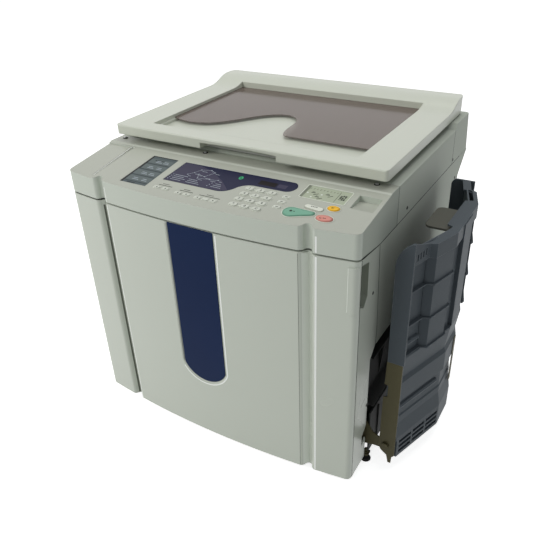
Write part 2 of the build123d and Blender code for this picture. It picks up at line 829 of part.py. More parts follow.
def make_door_hinges():
    """The two brackets that hold the door's pins, one under its skirt and one over its top."""
    pin = hinge_pin_radius
    wide = both_at(hinge_x, 9)
    low_z = skirt_bottom - seat - hinge_stock
    back = pan_front - seat
    low = hinge_tongue(back, low_z)
    low += block(wide, (back - hinge_stock, back), (low_z, pan_bottom + pan_height - 2))
    collar = Pos(hinge_x, hinge_y, low_z) * extrude(RegularPolygon(pin + 1.5, 8), door_sill - seat - low_z)
    low += collar
    low += upright_rod(hinge_x, hinge_y, pin, low_z, door_sill + hinge_grip)
    top_z = apron_bottom + 3
    back = front_frame_y - seat
    top = hinge_tongue(back, top_z)
    top += block(wide, (back - hinge_stock, back), (side_split - 30, top_z + 1))
    top += upright_rod(hinge_x, hinge_y, pin, door_top - hinge_grip, top_z + 1)
    return [low, top]


# Scanner bed, glass and carriage

bed_mid = (bed_front + bed_back) / 2
glass_top = bed_top + glass_rim


def make_scanner_bed():
    w = cover_wall
    low = side_split + seam
    bed = block(both(half_width), (bed_front, bed_back), (low, bed_top))
    bed -= block(both(half_width - w), (bed_front + w, bed_back - w), (low + w, bed_top - w))
    rim_x = glass_width / 2 + frame_margin
    rim_y = glass_depth / 2 + frame_margin - 2
    frame = block(both(rim_x), (bed_mid - rim_y, bed_mid + rim_y), (bed_top - w, glass_top))
    bed += chamfer(frame.edges().group_by(Axis.Z)[-1], glass_rim / 2)
    half_x = glass_width / 2 + seat
    half_y = glass_depth / 2 + seat
    bed -= block(both(half_x), both_at(bed_mid, half_y), (glass_top - glass_thick, glass_top + 1))
    half_x -= glass_ledge
    half_y -= glass_ledge
    bed -= block(both(half_x), both_at(bed_mid, half_y), (bed_top - w - 1, glass_top))
    for y in (bed_front + rail_inset, bed_back - rail_inset):
        bed += block(both(half_width - 60), both_at(y, rail_half), (low + w, rail_top))
    return bed


rail_top = side_split + seam + cover_wall + rail_rise


def make_platen_glass():
    ys = (bed_mid - glass_depth / 2, bed_mid + glass_depth / 2)
    return block(both(glass_width / 2), ys, (glass_top - glass_thick, glass_top))


def make_scanner_carriage():
    """The lamp and sensor bar, at home at the left end of its rails."""
    x = -carriage_travel / 2
    ys = (bed_front + rail_inset - 9, bed_back - rail_inset + 9)
    low = rail_top + seat
    top = bed_top - cover_wall - 2
    bar = block((x - carriage_width / 2, x + carriage_width / 2), ys, (low, top))
    bar -= block((x - 7, x + 7), (ys[0] + 20, ys[1] - 20), (low + 12, top + 1))
    for y in (bed_front + rail_inset, bed_back - rail_inset):
        for side in (-1, 1):
            inner = y + side * (rail_half + swing)
            cheek = sorted((inner, inner + side * 4))
            bar += block((x - 15, x + 15), cheek, (low - 8, low + 1))
    return bar


# Original cover, its pocket, pad and hinges


def lid_profile(inset):
    """Side view of the cover: thin in front, rising to the hinge housing at the back."""
    f, b, t = lid_front + inset, lid_back - inset, lid_top - inset
    r = lid_rear_top - inset
    low = lid_bottom - (1 if inset else 0)
    start, end = (lid_ramp_start, t), (lid_ramp_end, r)
    middle = ((lid_ramp_start + lid_ramp_end) / 2, (t + r) / 2)
    rise = [TangentArc(start, middle, tangent=(1, 0)), TangentArc(end, middle, tangent=(-1, 0))]
    rest = [end, (b - 7, r), (b, r - 8), (b, lid_bottom + lid_rear_chamfer)]
    rest += [(b - lid_rear_chamfer, low), (f, low), (f, t - 2), (f + 2, t), start]
    return make_face(rise + [Polyline(*rest)])


def lid_plan(inset):
    x, f, b = lid_half_width - inset, lid_front + inset, lid_back - inset
    plan = extrude(Pos(0, (f + b) / 2, lid_bottom - 5) * Rectangle(2 * x, b - f), 60)
    for corner in both(x):
        plan = rounded_upright(plan, corner, b, lid_rear_radius - inset)
        plan = rounded_upright(plan, corner, f, lid_front_radius - inset)
    return plan


def make_original_cover():
    body = extrude(Plane.YZ.offset(-lid_half_width) * lid_profile(0), 2 * lid_half_width) & lid_plan(0)
    inner = lid_half_width - lid_wall
    room = extrude(Plane.YZ.offset(-inner) * lid_profile(lid_wall), 2 * inner) & lid_plan(lid_wall)
    cover = body - room
    w = lid_wall
    ys = (pocket_front - w, pocket_back + w)
    cover += block(both(pocket_half_width + w), ys, (pocket_floor - w, lid_rear_top)) & body
    liner = (lid_front + w, lid_front + lid_grip_depth + w)
    cover += block(both(lid_grip_half + w), liner, (lid_bottom, lid_top - w))
    ledge = pocket_floor + pocket_gap
    cover -= block(both(pocket_half_width), (pocket_front, pocket_back), (ledge, lid_rear_top + 1))
    inset = pocket_ledge
    ys = (pocket_front + inset, pocket_back - inset)
    cover -= block(both(pocket_half_width - inset), ys, (pocket_floor, ledge + 1))
    high, low = lid_bottom + lid_grip_height, lid_bottom - 1
    left, right = (-lid_grip_half, high), (lid_grip_half, high)
    crown = ThreePointArc(left, (0, high + 2), right)
    arch = make_face([crown, Polyline(right, (lid_grip_half, low), (-lid_grip_half, low), left)])
    return cover - extrude(facing_front(lid_front + lid_grip_depth) * arch, lid_grip_depth + 1)


def make_document_pocket():
    """The smoked plate over the pocket, with its waved thumb opening at the front left."""
    x = pocket_half_width - seat
    back = pocket_back - seat
    y = pocket_front
    left, right = (-x, y + 71), (42, y + 67)
    dip = [(-190, y + 58), (-151, y + 64), (-90, y + 123)]
    crest = [(-40, y + 177), (-8, y + 185), (18, y + 167), (30, y + 124)]
    wave = Spline(left, *dip, *crest, right)
    rest = Polyline(right, (50, y + 61), (x, y + 61), (x, back), (-x, back), left)
    low = pocket_floor + pocket_gap + 0.1
    return extrude(Plane.XY.offset(low) * make_face([wave, rest]), pocket_plate)


def make_platen_pad():
    x = glass_width / 2 + 6
    y = glass_depth / 2 + 6
    high = pocket_floor - lid_wall - seat
    return block(both(x), (bed_mid - y, bed_mid + y), (glass_top + seat, high))


def make_lid_mounts():
    """Goosenecks on the rear cap that carry the cover's pins."""
    mounts = []
    for x in both(lid_hinge_x):
        half = neck_width / 2
        base = block((x - 22, x + 22), (lid_axis_y - 66, lid_axis_y - 26), (cap_top, cap_top + 2))
        turns = [radians(90 - 39 * k) for k in range(6)]
        eye = [(neck_eye * cos(turn), neck_eye * sin(turn)) for turn in turns]
        spine = [(-46, -21), (-46, 5), (-8, 7)] + eye + [(-8, -5), (-30, -5), (-30, -21)]
        points = [(lid_axis_y + y, max(lid_axis_z + z, cap_top)) for y, z in spine]
        neck = along_x(points, x - half, x + half)
        neck -= cross_rod(lid_axis_y, lid_axis_z, lid_pin_radius + running, x - half - 1, x + half + 1)
        mounts.append(base + neck)
    return mounts


def make_lid_arms():
    """Forks inside the cover, each with a pin through its gooseneck."""
    arms = []
    top = lid_rear_top - lid_wall - 0.1
    for x in both(lid_hinge_x):
        near = neck_width / 2 + swing
        far = near + cheek_width
        fork = block((x - far, x + far), (lid_axis_y - 14, lid_axis_y + 4), (top - 3, top))
        for side in (-1, 1):
            xs = sorted((x + side * near, x + side * far))
            fork += block(xs, (lid_axis_y - 7, lid_axis_y + 4), (lid_axis_z - 6, top))
        arms.append(fork + cross_rod(lid_axis_y, lid_axis_z, lid_pin_radius, x - far, x + far))
    return arms


# Print drum and its neighbours


def make_print_drum():
    """A screen cylinder with end discs that run on the core, and the clamp that holds a master."""
    shell = rod(0, drum_z, drum_radius, drum_front, drum_back)
    clamp_seat = drum_radius - 2.4
    bed_ys = (drum_front + 6, drum_back - 6)
    shell -= block(both(25), bed_ys, (drum_z + clamp_seat, drum_z + drum_radius + 1))
    room = rod(0, drum_z, drum_radius - drum_wall, drum_front + drum_disc, drum_back - drum_disc)
    room -= block(both(24), (drum_front, drum_back), (drum_z + clamp_seat - drum_wall, drum_z + drum_radius))
    shell -= room
    ys = (drum_front + 12, drum_back - 12)
    shell += block(both(clamp_width / 2), ys, (drum_z + clamp_seat - 0.5, drum_z + clamp_seat + 1.8))
    shell -= rod(0, drum_z, core_radius + running, drum_front - 1, drum_back + 1)
    for k in range(4):
        spot = Rot(0, k * 90 + 45, 0) * Pos(66, 0, 0)
        shell -= Pos(0, drum_front, drum_z) * spot * Box(24, 30, 30)
    return shell


def make_drum_frame():
    """The fixed core that the drum turns on, with its front plate and pull handle."""
    face_y = front_frame_y - seat
    right = [(88, -78), (104, -40), (104, 40), (60, 100)]
    outline = right + [(-x, z) for x, z in reversed(right)]
    plate = along_y([(x, drum_z + z) for x, z in outline], face_y - 5, face_y)
    core = rod(0, drum_z, core_radius, face_y - 1, rear_frame_y - seat)
    core += rod(0, drum_z, spigot_radius, rear_frame_y - 2, rear_frame_y + frame_plate + 6)
    frame = plate + core
    frame -= rod(0, drum_z, core_inner, face_y - 10, rear_frame_y - 12)
    bar_y = door_return + 4
    handle_zs = both_at(drum_z - 62, handle_tall / 2)
    frame += block(both(handle_half), (bar_y, bar_y + handle_bar), handle_zs)
    for side in (-1, 1):
        post = sorted((side * handle_half, side * (handle_half - 12)))
        frame += block(post, (bar_y + 5, face_y - 4), handle_zs)
    return frame


def make_ink_cartridge():
    front = front_frame_y - 22
    grip_half = 7.0
    bottle = rod(0, drum_z, core_inner - swing, front + 12, front + cartridge_length)
    grip = block(both(grip_half), (front, front + 13), both_at(drum_z, core_inner - 6))
    return bottle + grip


def shaft_ends():
    return front_frame_y - 5, rear_frame_y + frame_plate + 5


def make_pressure_roller():
    roll = rod(0, pressure_z, pressure_radius, drum_front + 8, drum_back - 8)
    return roll + rod(0, pressure_z, shaft_radius, *shaft_ends())


def make_pickup_roller():
    roller = rod(pickup_x, pickup_z, roller_shaft, *shaft_ends())
    return roller + wheel(pickup_x, pickup_z, pickup_radius, tray_mid_y, 58)


def make_eject_rollers():
    roller = rod(eject_x, eject_z, roller_shaft, *shaft_ends())
    pitch = (slot_back - slot_front) / 2
    for k in range(2):
        y = slot_front + pitch * (k + 0.5)
        roller += wheel(eject_x, eject_z, eject_radius, y, 24)
    return roller


def unit_outline(side, inset):
    """End view of a unit beside the drum, with its corners cut away on the drum's side."""
    w = inset
    near, slope, out = unit_in + w, unit_in + 28 + w / 2, unit_out - w
    low, high = unit_low + w, unit_high - w
    points = [(near, low + 30 - w / 2), (slope, low), (out, low), (out, high), (slope, high)]
    return [(side * x, z) for x, z in points + [(near, high - 34 + w / 2)]]


def unit_case(side, front_wall):
    """A hollow case between the frames, open along a slot that faces the drum."""
    ys = (front_frame_y + frame_plate + seat, rear_frame_y - seat)
    case = along_y(unit_outline(side, 0), *ys)
    case -= along_y(unit_outline(side, unit_wall), ys[0] + front_wall, ys[1] - unit_wall)
    slot = sorted((side * (unit_in - 2), side * (unit_in + unit_wall + 2)))
    return case - block(slot, (ys[0] + 40, ys[1] - 30), (unit_low + 38, unit_low + 68)), ys


def make_master_maker():
    """The stencil-making unit over the feed side, with the wall that its master roll turns against."""
    unit, ys = unit_case(-1, unit_wall)
    wall = (ys[0] + 20, ys[0] + 24)
    return unit + block((1 - unit_out, -unit_in - 50), wall, (unit_low + 1, unit_high - 1))


def make_disposal_box():
    """The box that takes used masters, with its front grip."""
    grip_depth = 16.0
    box, ys = unit_case(1, grip_depth + 6)
    return box - block((180, 250), (ys[0] - 1, ys[0] + grip_depth), (unit_low + 30, unit_low + 80))


def make_main_motor():
    front = rear_frame_y + frame_plate + seat
    x, z = 158, 193
    motor = block(both_at(x, 40), (front, front + 24), both_at(z, 43))
    return motor + rod(x, z, 34, front + 20, front + 62)


def make_electronics():
    """Power supply and control boards in one steel box, with the mains inlet on its back."""
    front = rear_frame_y + frame_plate + seat
    low = pan_bottom + pan_wall + seat
    box = block((-250, -20), (front, front + 44), (low, low + 302))
    box -= block((-248, -22), (front + 2, front + 42), (low + 2, low + 300))
    for k in range(4):
        box -= block((-70, -40), (front - 1, front + 45), both_at(low + 80 + 40 * k, 6))
    box += block(both_at(inlet_x, 16), (front + 40, back_plane - 1), both_at(inlet_z, 12))
    box -= block(both_at(inlet_x, 12), (back_plane - 16, back_plane), both_at(inlet_z, 8.5))
    for x, z in ((-6.5, 2), (6.5, 2), (0, -3)):
        box += block(both_at(inlet_x + x, 1), (back_plane - 17, back_plane - 8), both_at(inlet_z + z, 2.5))
    return box


# Folding paper feed tray on the left, with its sliding guides

feed_ears = (feed_front_y - feed_ear - seam, feed_back_y + seam)
feed_mid = (feed_front_y + feed_back_y) / 2
feed_tray_ys = (feed_front_y + swing, feed_back_y - swing)
feed_rail_x = feed_tray_face + 3
feed_rail_zs = (330.0, 350.0)


def make_feed_tray():
    """Folded up over the feed opening. Its paper side faces the machine."""
    ys = feed_tray_ys
    face = (feed_tray_face - feed_tray_thick, feed_tray_face)
    tray = block(face, ys, (feed_pivot_z - 2, feed_tray_top))
    uprights = tray.edges().filter_by(Axis.X).group_by(Axis.Z)[-1]
    tray = fillet(uprights, 24)
    w = feed_wall
    dish = (feed_pivot_z + 16, feed_tray_top - 30)
    tray -= block((face[0] - 1, face[1] - w), (ys[0] + w, ys[1] - w), dish)
    for k in range(3):
        y = ys[0] + (ys[1] - ys[0]) * (k + 1) / 4
        tray += block((face[0] + 1, face[1] - 2), both_at(y, w / 2), (feed_pivot_z + 10, feed_tray_top - 28))
    x, z = feed_pivot_x, feed_pivot_z
    knuckle = [(face[0], z - 7), (x, z - 8), (x + 7, z), (x, z + 8), (face[0], z + 12)]
    for y in (ys[0], ys[1] - 22):
        tray += along_y(knuckle, y, y + 22)
    tray += rod(feed_pivot_x, feed_pivot_z, feed_pin_radius, feed_ears[0], ys[0] + 1)
    tray += rod(feed_pivot_x, feed_pivot_z, feed_pin_radius, ys[1] - 1, feed_ears[1] + feed_ear)
    tray += block((face[1] - 1, feed_rail_x), (ys[0] + 24, ys[1] - 24), feed_rail_zs)
    return tray


def make_feed_guide(side):
    """One side guide: a fence on a saddle that clips over the tray's rail."""
    y = feed_mid + side * feed_guide_reach
    inner = y - side * guide_plate
    fence_x = (feed_rail_x + swing, feed_tray_face + feed_guide_height)
    low, high = feed_rail_zs
    fence = block(fence_x, sorted((inner, y)), (feed_pivot_z + 24, feed_pivot_z + 180))
    foot = sorted((y, y - side * 34))
    saddle = block((feed_rail_x + swing, feed_rail_x + swing + 3), foot, (low - 6, high + 6))
    for zs in ((low - 6, low - swing), (high + swing, high + 6)):
        saddle += block((feed_tray_face + seat, feed_rail_x + swing + 1), foot, zs)
    return fence + saddle


# Receiving tray on the right, folded up against the machine. Its underside faces out.

tray_ys = (tray_mid_y - tray_half, tray_mid_y + tray_half)
vee = [
    (tray_edge_x, tray_ys[0] + 2.5),
    (tray_crown_x, tray_mid_y - tray_crown_half),
    (tray_crown_x, tray_mid_y + tray_crown_half),
    (tray_edge_x, tray_ys[1] - 2.5),
]
rim_line = [
    (tray_edge_x, tray_ys[0] + 3),
    (tray_edge_x + 13, tray_mid_y - bay_far - 5),
    (tray_edge_x + 25, tray_mid_y - bay_far),
    (tray_crown_x - 2, tray_mid_y - bay_near),
]


def vee_x(y):
    """Outer face of the vee-shaped underside at y, at the height of its ribs."""
    away = max(abs(y - tray_mid_y) - tray_crown_half, 0)
    run = tray_half - 2.5 - tray_crown_half
    return tray_crown_x - (tray_crown_x - tray_edge_x) * away / run


def mirrored(points):
    """Plan points of the front half followed by their mirror images at the back."""
    return points + [(x, 2 * tray_mid_y - y) for x, y in reversed(points)]


def trough_panel():
    """The thin floor of the tray, a shallow trough that curls the paper lengthways."""
    line = [(x - tray_rib, y) for x, y in vee]
    return along_z(ribbon(line, tray_wall), tray_bottom, tray_top)


def rib_half():
    """Plan outline of the deep ribs from the tray's edge to the channel beside the crown."""
    y0 = tray_ys[0] + 2.5
    block_start, block_end = tray_mid_y - bay_far, tray_mid_y - bay_near
    outer = [(tray_edge_x, y0), (vee_x(block_start - 5) - 1, block_start - 5)]
    outer += [(vee_x(block_start) + 11, block_start), (vee_x(block_end) + 9, block_end)]
    outer += [(vee_x(block_end) + 7, block_end + 7)]
    inner = [(vee_x(block_end + 8) - tray_rib - 1, block_end + 8), (tray_edge_x - tray_rib - 1, y0)]
    return outer + inner


def other_half(points):
    return [(x, 2 * tray_mid_y - y) for x, y in points]


def bay_outline():
    """Plan outline of the wall of the raised hollow bay beside the channel."""
    start, end = tray_mid_y - bay_far + 2, tray_mid_y - bay_near - 1
    outer = [(vee_x(start) - tray_rib - 1, start - 5), (vee_x(start) + 7.5, start), (vee_x(end) + 5.5, end)]
    return ribbon(outer + [(vee_x(end) - tray_rib - 1, end + 4)], tray_wall)


def lower_section():
    """Side profile of the lower half: depth out from the trough against height."""
    d, low, high = tray_rib, tray_bottom, rib_levels[0]
    foot = [(-1, low), (d, low), (d, low + 54), (2.5, low + 88), (2.5, low + 105)]
    band = [(0.5, low + 108), (0.5, low + 150), (band_depth, low + 152), (band_depth, low + 197)]
    return foot + band + [(1.5, low + 206), (d, high - 3), (d, high), (-1, high)]


def lower_skin():
    """The stepped skin of the lower half, swept round the vee with mitred corners."""
    path = [(x - tray_rib, y) for x, y in vee]
    (ax, ay), (bx, by) = path[0], path[1]
    length = hypot(bx - ax, by - ay)
    along = ((bx - ax) / length, (by - ay) / length, 0)
    across = (along[1], -along[0], 0)
    start = Plane(origin=(ax, ay, 0), x_dir=across, z_dir=(-along[0], -along[1], 0))
    section = start * make_face(Polyline(*lower_section(), close=True))
    line = Polyline(*[(x, y, 0) for x, y in path])
    return sweep(section, path=line, transition=Transition.RIGHT)


def side_rim(front):
    """The upright rim on one side of the tray, stepped back where an arm lies on it."""
    out = tray_ys[0]
    x, top = tray_rim_x, tray_ear_top
    arc = ThreePointArc((x, top - 49), (x + 9, top - 18), (x + 28, top))
    if not front:
        top = tray_top
        arc = ThreePointArc((x - 8, top - 12), (x - 4.5, top - 3.5), (x + 4, top))
    first, last = arc @ 0, arc @ 1
    low = arm_top + seat
    right = tray_edge_x + (2 if front else 9)
    outline = Polyline((last.X, last.Y), (right, top), (right, low), (first.X, low), (first.X, first.Y))
    upper = extrude(facing_front(out + tray_side_wall) * make_face([arc, outline]), tray_side_wall)
    step = out + arm_plate + seat
    lower = block((x + 2, tray_edge_x), (step, out + tray_side_wall), (tray_bottom + 86, arm_top + 1))
    rim = upper + lower
    return rim if front else mirror(rim, about=Plane.XZ.offset(-tray_mid_y))


def top_wall():
    """The end wall at the tray's top, with the hand notch near its back corner."""
    x, mid = tray_edge_x, tray_mid_y
    inner = [(tray_rim_x + 14, tray_ys[1] - 4), (x - 1, mid + bay_far), (x + 16, mid + 70)]
    inner += [(x + 16, mid - 41), (x + 28, mid - 47), (x + 13, mid - 113), (x - 12, tray_ys[0] + 4)]
    wall = along_z(mirrored(rim_line) + inner, tray_top - 4, tray_top)
    notch = [(x - 2, mid + bay_far), (x + 15, mid + bay_far + 5), (x + 31, mid + 77), (x + 15, mid + 70)]
    return wall - along_z(notch, tray_top - 30, tray_top + 1)


def rim_band():
    """The deep band that hangs from the top wall along its outer edge, with its vents."""
    band = along_z(ribbon(mirrored(rim_line), tray_wall), tray_top - rim_drop, tray_top)
    for k in range(4):
        y, low = tray_ys[0] + 13 + k * 7.5, tray_top - 22 + k
        band -= block((tray_edge_x - 10, tray_edge_x + 25), (y, y + 3.5), (low, low + 14))
    return band


def ear_wedge():
    """The outer wall's ramp from the tall front corner down to the rim."""
    wall = along_z(ribbon(rim_line[:2], tray_wall), tray_top - 4, tray_ear_top)
    start, end, low = tray_ys[0], rim_line[1][1], tray_top - rim_drop
    ramp = [(start, tray_ear_top), (end, tray_top), (end, low), (start, low)]
    return wall & along_x(ramp, tray_rim_x, tray_crown_x)


def tray_floor_rails():
    """Straight rails on the paper side that the guides and the end fence slide on."""
    low, high = tray_rail_zs
    cross = block((tray_rail_x, tray_rail_x + 60), (tray_ys[0] + 26, tray_ys[1] - 26), (low, high))
    run = (high + 20, tray_top - 20)
    spine = block((fence_rail_x, tray_crown_x - tray_rib - 1), both_at(tray_mid_y, fence_rail_half), run)
    return cross, spine


def make_receiving_tray():
    tray = trough_panel()
    rib = along_z(rib_half(), 0, tray_wall)
    far = along_z(other_half(rib_half()), 0, tray_wall)
    for z in rib_levels:
        tray += Pos(0, 0, z) * rib
        tray += Pos(0, 0, z) * far
    zs = (rib_levels[0] + 1, tray_top - 3)
    tray += along_z(bay_outline(), *zs)
    tray += along_z(other_half(bay_outline()), *zs)
    tray += block((tray_crown_x - tray_rib - 1, tray_crown_x), both_at(tray_mid_y, 26), zs)
    tray += lower_skin()
    tray += top_wall()
    tray += rim_band() + ear_wedge()
    for front in (True, False):
        tray += side_rim(front)
    for z, y_to in ((rib_levels[0] + 28, tray_ys[0] + 44), (tray_bottom + 133, tray_ys[0] + 122)):
        start = (tray_edge_x - tray_rib, tray_ys[0] + 4, z)
        end = (vee_x(y_to) - tray_rib, y_to, z)
        bar = Plane(origin=start, z_dir=(end[0] - start[0], end[1] - start[1], 0))
        length = hypot(end[0] - start[0], end[1] - start[1])
        tray += extrude(bar * RegularPolygon(6.5, 8), length)
    tray -= grille_slots()
    cross, spine = tray_floor_rails()
    under = along_z(ribbon([(x - tray_rib, y) for x, y in vee], 80), 0, tray_top)
    tray += (cross & under) + spine
    arm_side = tray_ys[0] + arm_plate
    for y, high in ((arm_side + seat, arm_top + seat), (arm_side + 2 * swing + 3, pivot_z + 18)):
        cut = block((tray_rim_x - 20, tray_crown_x), (tray_ys[0] - 3, y), (0, high))
        tray = tray - cut - mirror(cut, about=Plane.XZ.offset(-tray_mid_y))
    return tray


def grille_slots():
    """Three rows of blind slots low on the underside."""
    (ax, ay), (bx, by) = vee[0], vee[1]
    length = hypot(bx - ax, by - ay)
    along = ((bx - ax) / length, (by - ay) / length, 0)
    slots = []
    for row in range(3):
        for column in range(3):
            z = tray_bottom + 12 + row * 13
            at = 10 + column * 44
            plane = Plane(origin=(ax, ay, z), x_dir=along, z_dir=(along[1], -along[0], 0))
            slot = extrude(plane * Pos(at + 20, 0, -6) * Rectangle(39, 8), 8)
            slots += [slot, mirror(slot, about=Plane.XZ.offset(-tray_mid_y))]
    return slots


def arm_outline():
    """One steel side arm: notched on its inner edge and rounded at the pivot end."""
    x, low = arm_inner_x, tray_bottom
    points = [(x + 2, arm_top), (x + 1, low + 194), (x, low + 188), (x + 8, low + 185), (x + 8, low + 157)]
    points += [(x, low + 154), (x - 1, low + 64)]
    points += [(pivot_x - 14, pivot_z + 8), (pivot_x - 15, pivot_z - 4), (pivot_x - 9, pivot_z - 16)]
    points += [(pivot_x + 4, pivot_z - 26), (pivot_x + 8, pivot_z - 45), (pivot_x + 14, pivot_z - 45)]
    points += [(pivot_x + 15, pivot_z - 28), (tray_edge_x - 1, tray_bottom + 6), (tray_edge_x, arm_top)]
    return points


def make_tray_arms():
    front = along_y(arm_outline(), tray_ys[0], tray_ys[0] + arm_plate)
    front -= rod(pivot_x, pivot_z, stud_radius + running, tray_ys[0] - 1, tray_ys[0] + arm_plate + 1)
    rear = mirror(front, about=Plane.XZ.offset(-tray_mid_y))
    face = tray_crown_x - tray_rib + band_depth + 0.1
    strip = block((face, face + 1.5), both_at(tray_mid_y + 26, 6), (tray_bottom + 80, tray_bottom + 196))
    for k in range(3):
        z = tray_bottom + 104 + 40 * k
        strip -= block((face - 1, face + 3), both_at(tray_mid_y + 26, 1.5), both_at(z, 9))
    return [front, rear, strip]


def make_tray_brackets():
    """Brackets on the exit panel, each with the stud that an arm turns on."""
    wall = exit_panel_x + cover_wall + seat
    y0 = tray_ys[0] + arm_plate + swing
    p = (pivot_x, pivot_z)
    low, high = p[1] - 24, p[1] + 48
    outline = [(wall, high), (wall + 16, high - 6), (wall + 30, high - 28), (p[0] - 12, p[1] + 11)]
    outline += [(p[0], p[1] + 14), (p[0] + 10, p[1] + 9), (p[0] + 13, p[1]), (p[0] + 9, p[1] - 10)]
    outline += [(p[0] - 2, p[1] - 13), (wall + 32, low + 10), (wall + 14, low + 6), (wall, low)]
    plate = along_y(outline, y0, y0 + 3)
    plate += block((wall, wall + 3), (y0, y0 + 26), (low, high))
    stud = rod(*p, stud_radius, tray_ys[0] - 1, y0 + 1)
    head = extrude(facing_front(tray_ys[0] - swing) * Pos(*p) * RegularPolygon(8, 6), 4.1)
    front = plate + stud + head
    return [front, mirror(front, about=Plane.XZ.offset(-tray_mid_y))]


def make_tray_guide(side):
    """One side guide of the receiving tray, on a saddle over the cross rail."""
    y = tray_mid_y + side * tray_guide_reach
    inner = y - side * guide_plate
    face = tray_rail_x - swing
    low, high = tray_rail_zs
    fence = block((face - 24, face), sorted((inner, y)), (low - 62, high + 88))
    ends = fence.edges().filter_by(Axis.Y).sort_by(lambda e: e.center().X)[:2]
    fence = fillet(ends, 14)
    foot = sorted((y, y - side * 32))
    saddle = block((face - 3, face), foot, (low - 6, high + 6))
    for zs in ((low - 6, low - swing), (high + swing, high + 6)):
        saddle += block((face - 1, face + 5), foot, zs)
    return fence + saddle


def make_end_fence():
    """The end stop, parked at the top of the tray on its central rail."""
    face = fence_rail_x - swing
    top = tray_top - 10
    stop = block((tray_rim_x + 4, face), both_at(tray_mid_y, 44), (top - 4, top))
    corners = stop.edges().filter_by(Axis.Z).sort_by(lambda e: e.center().X)[:2]
    stop = fillet(corners, 12)
    saddle = block((face - 3, face), both_at(tray_mid_y, 17), (top - 40, top))
    for side in (-1, 1):
        ys = sorted((tray_mid_y + side * (fence_rail_half + swing), tray_mid_y + side * 17))
        saddle += block((face - 1, face + 5), ys, (top - 40, top - 1))
    return stop + saddle


# Every piece by its node name


def build_all():
    nodes = {
        "base_pan": make_base_pan(),
        "feet": make_feet(),
        "front_frame_plate": make_front_frame(),
        "rear_frame_plate": make_rear_frame(),
        "left_front_column": make_left_column(),
        "right_front_strip": make_right_strip(),
        "left_side_cover": make_left_cover(),
        "right_side_cover": make_right_cover(),
        "exit_panel": make_exit_panel(),
        "rear_cover": make_rear_cover(),
        "rear_cap": make_rear_cap(),
        "control_panel": make_control_panel(),
        "mode_keys": make_mode_keys(),
        "panel_windows": make_windows(),
        "front_door": make_front_door(),
        "door_stripe": make_door_stripe(),
        "door_hinges": make_door_hinges(),
        "scanner_bed": make_scanner_bed(),
        "platen_glass": make_platen_glass(),
        "scanner_carriage": make_scanner_carriage(),
        "original_cover": make_original_cover(),
        "document_pocket": make_document_pocket(),
        "platen_pad": make_platen_pad(),
        "lid_hinge_mounts": make_lid_mounts(),
        "lid_hinge_arms": make_lid_arms(),
        "print_drum": make_print_drum(),
        "drum_frame": make_drum_frame(),
        "ink_cartridge": make_ink_cartridge(),
        "pressure_roller": make_pressure_roller(),
        "pickup_roller": make_pickup_roller(),
        "eject_rollers": make_eject_rollers(),
        "master_maker": make_master_maker(),
        "disposal_box": make_disposal_box(),
        "main_motor": make_main_motor(),
        "electronics_box": make_electronics(),
        "feed_tray": make_feed_tray(),
        "feed_guide_front": make_feed_guide(-1),
        "feed_guide_rear": make_feed_guide(1),
        "receiving_tray": make_receiving_tray(),
        "tray_arms": make_tray_arms(),
        "tray_brackets": make_tray_brackets(),
        "tray_guide_front": make_tray_guide(-1),
        "tray_guide_rear": make_tray_guide(1),
        "tray_end_fence": make_end_fence(),
    }
    nodes.update(make_keys())
    return nodes


def as_compound(shape):
    """One compound of the shape's solids."""
    pieces = shape if isinstance(shape, list) else [shape]
    return Compound(children=[solid for piece in pieces for solid in piece.solids()])


def main():
    nodes = {name: as_compound(shape) for name, shape in build_all().items()}
    boxes = [shape.bounding_box() for shape in nodes.values()]
    mid_x = (min(b.min.X for b in boxes) + max(b.max.X for b in boxes)) / 2
    mid_y = (min(b.min.Y for b in boxes) + max(b.max.Y for b in boxes)) / 2
    print("origin lies at", round(mid_x, 3), round(mid_y, 3), "on the floor")
    for name, shape in nodes.items():
        export_step(Pos(-mid_x, -mid_y, 0) * shape, f"parts/{name}.step")


main()
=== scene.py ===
import math

import bmesh
import bpy
from mathutils import Matrix, Vector
from mathutils.bvhtree import BVHTree


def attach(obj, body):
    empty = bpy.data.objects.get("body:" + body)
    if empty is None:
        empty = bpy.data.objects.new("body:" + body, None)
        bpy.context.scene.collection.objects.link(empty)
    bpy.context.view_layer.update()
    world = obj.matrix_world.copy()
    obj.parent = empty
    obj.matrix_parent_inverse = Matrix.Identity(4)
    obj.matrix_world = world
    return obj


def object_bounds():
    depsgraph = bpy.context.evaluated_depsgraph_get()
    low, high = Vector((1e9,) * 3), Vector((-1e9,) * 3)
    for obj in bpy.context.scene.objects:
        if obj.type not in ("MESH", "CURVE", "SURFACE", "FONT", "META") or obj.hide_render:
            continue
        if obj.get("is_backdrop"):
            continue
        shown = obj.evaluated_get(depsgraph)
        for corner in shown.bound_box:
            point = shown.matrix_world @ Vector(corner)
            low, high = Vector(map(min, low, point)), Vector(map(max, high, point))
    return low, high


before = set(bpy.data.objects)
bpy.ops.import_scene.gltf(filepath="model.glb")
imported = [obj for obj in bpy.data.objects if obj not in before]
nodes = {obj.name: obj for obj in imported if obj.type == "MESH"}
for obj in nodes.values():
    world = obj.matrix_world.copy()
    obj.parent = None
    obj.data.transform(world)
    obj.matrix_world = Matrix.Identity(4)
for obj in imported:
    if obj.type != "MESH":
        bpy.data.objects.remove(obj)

low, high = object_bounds()
cadBox = [list(low), list(high)]
scene = bpy.context.scene

# Planes of the machine in millimetres, and where the shared frame's origin lies in it
machine = {"originX": 40.0, "originY": 322.5, "halfWidth": 320, "back": 584, "bedTop": 600,
           "panelFoot": (10, 579), "panelRun": 140, "panelRise": 19}


def at(x, y, z):  # x from the machine's middle, y from its front, z from the floor
    return Vector(((x - machine["originX"]) / 1000, (y - machine["originY"]) / 1000, z / 1000))


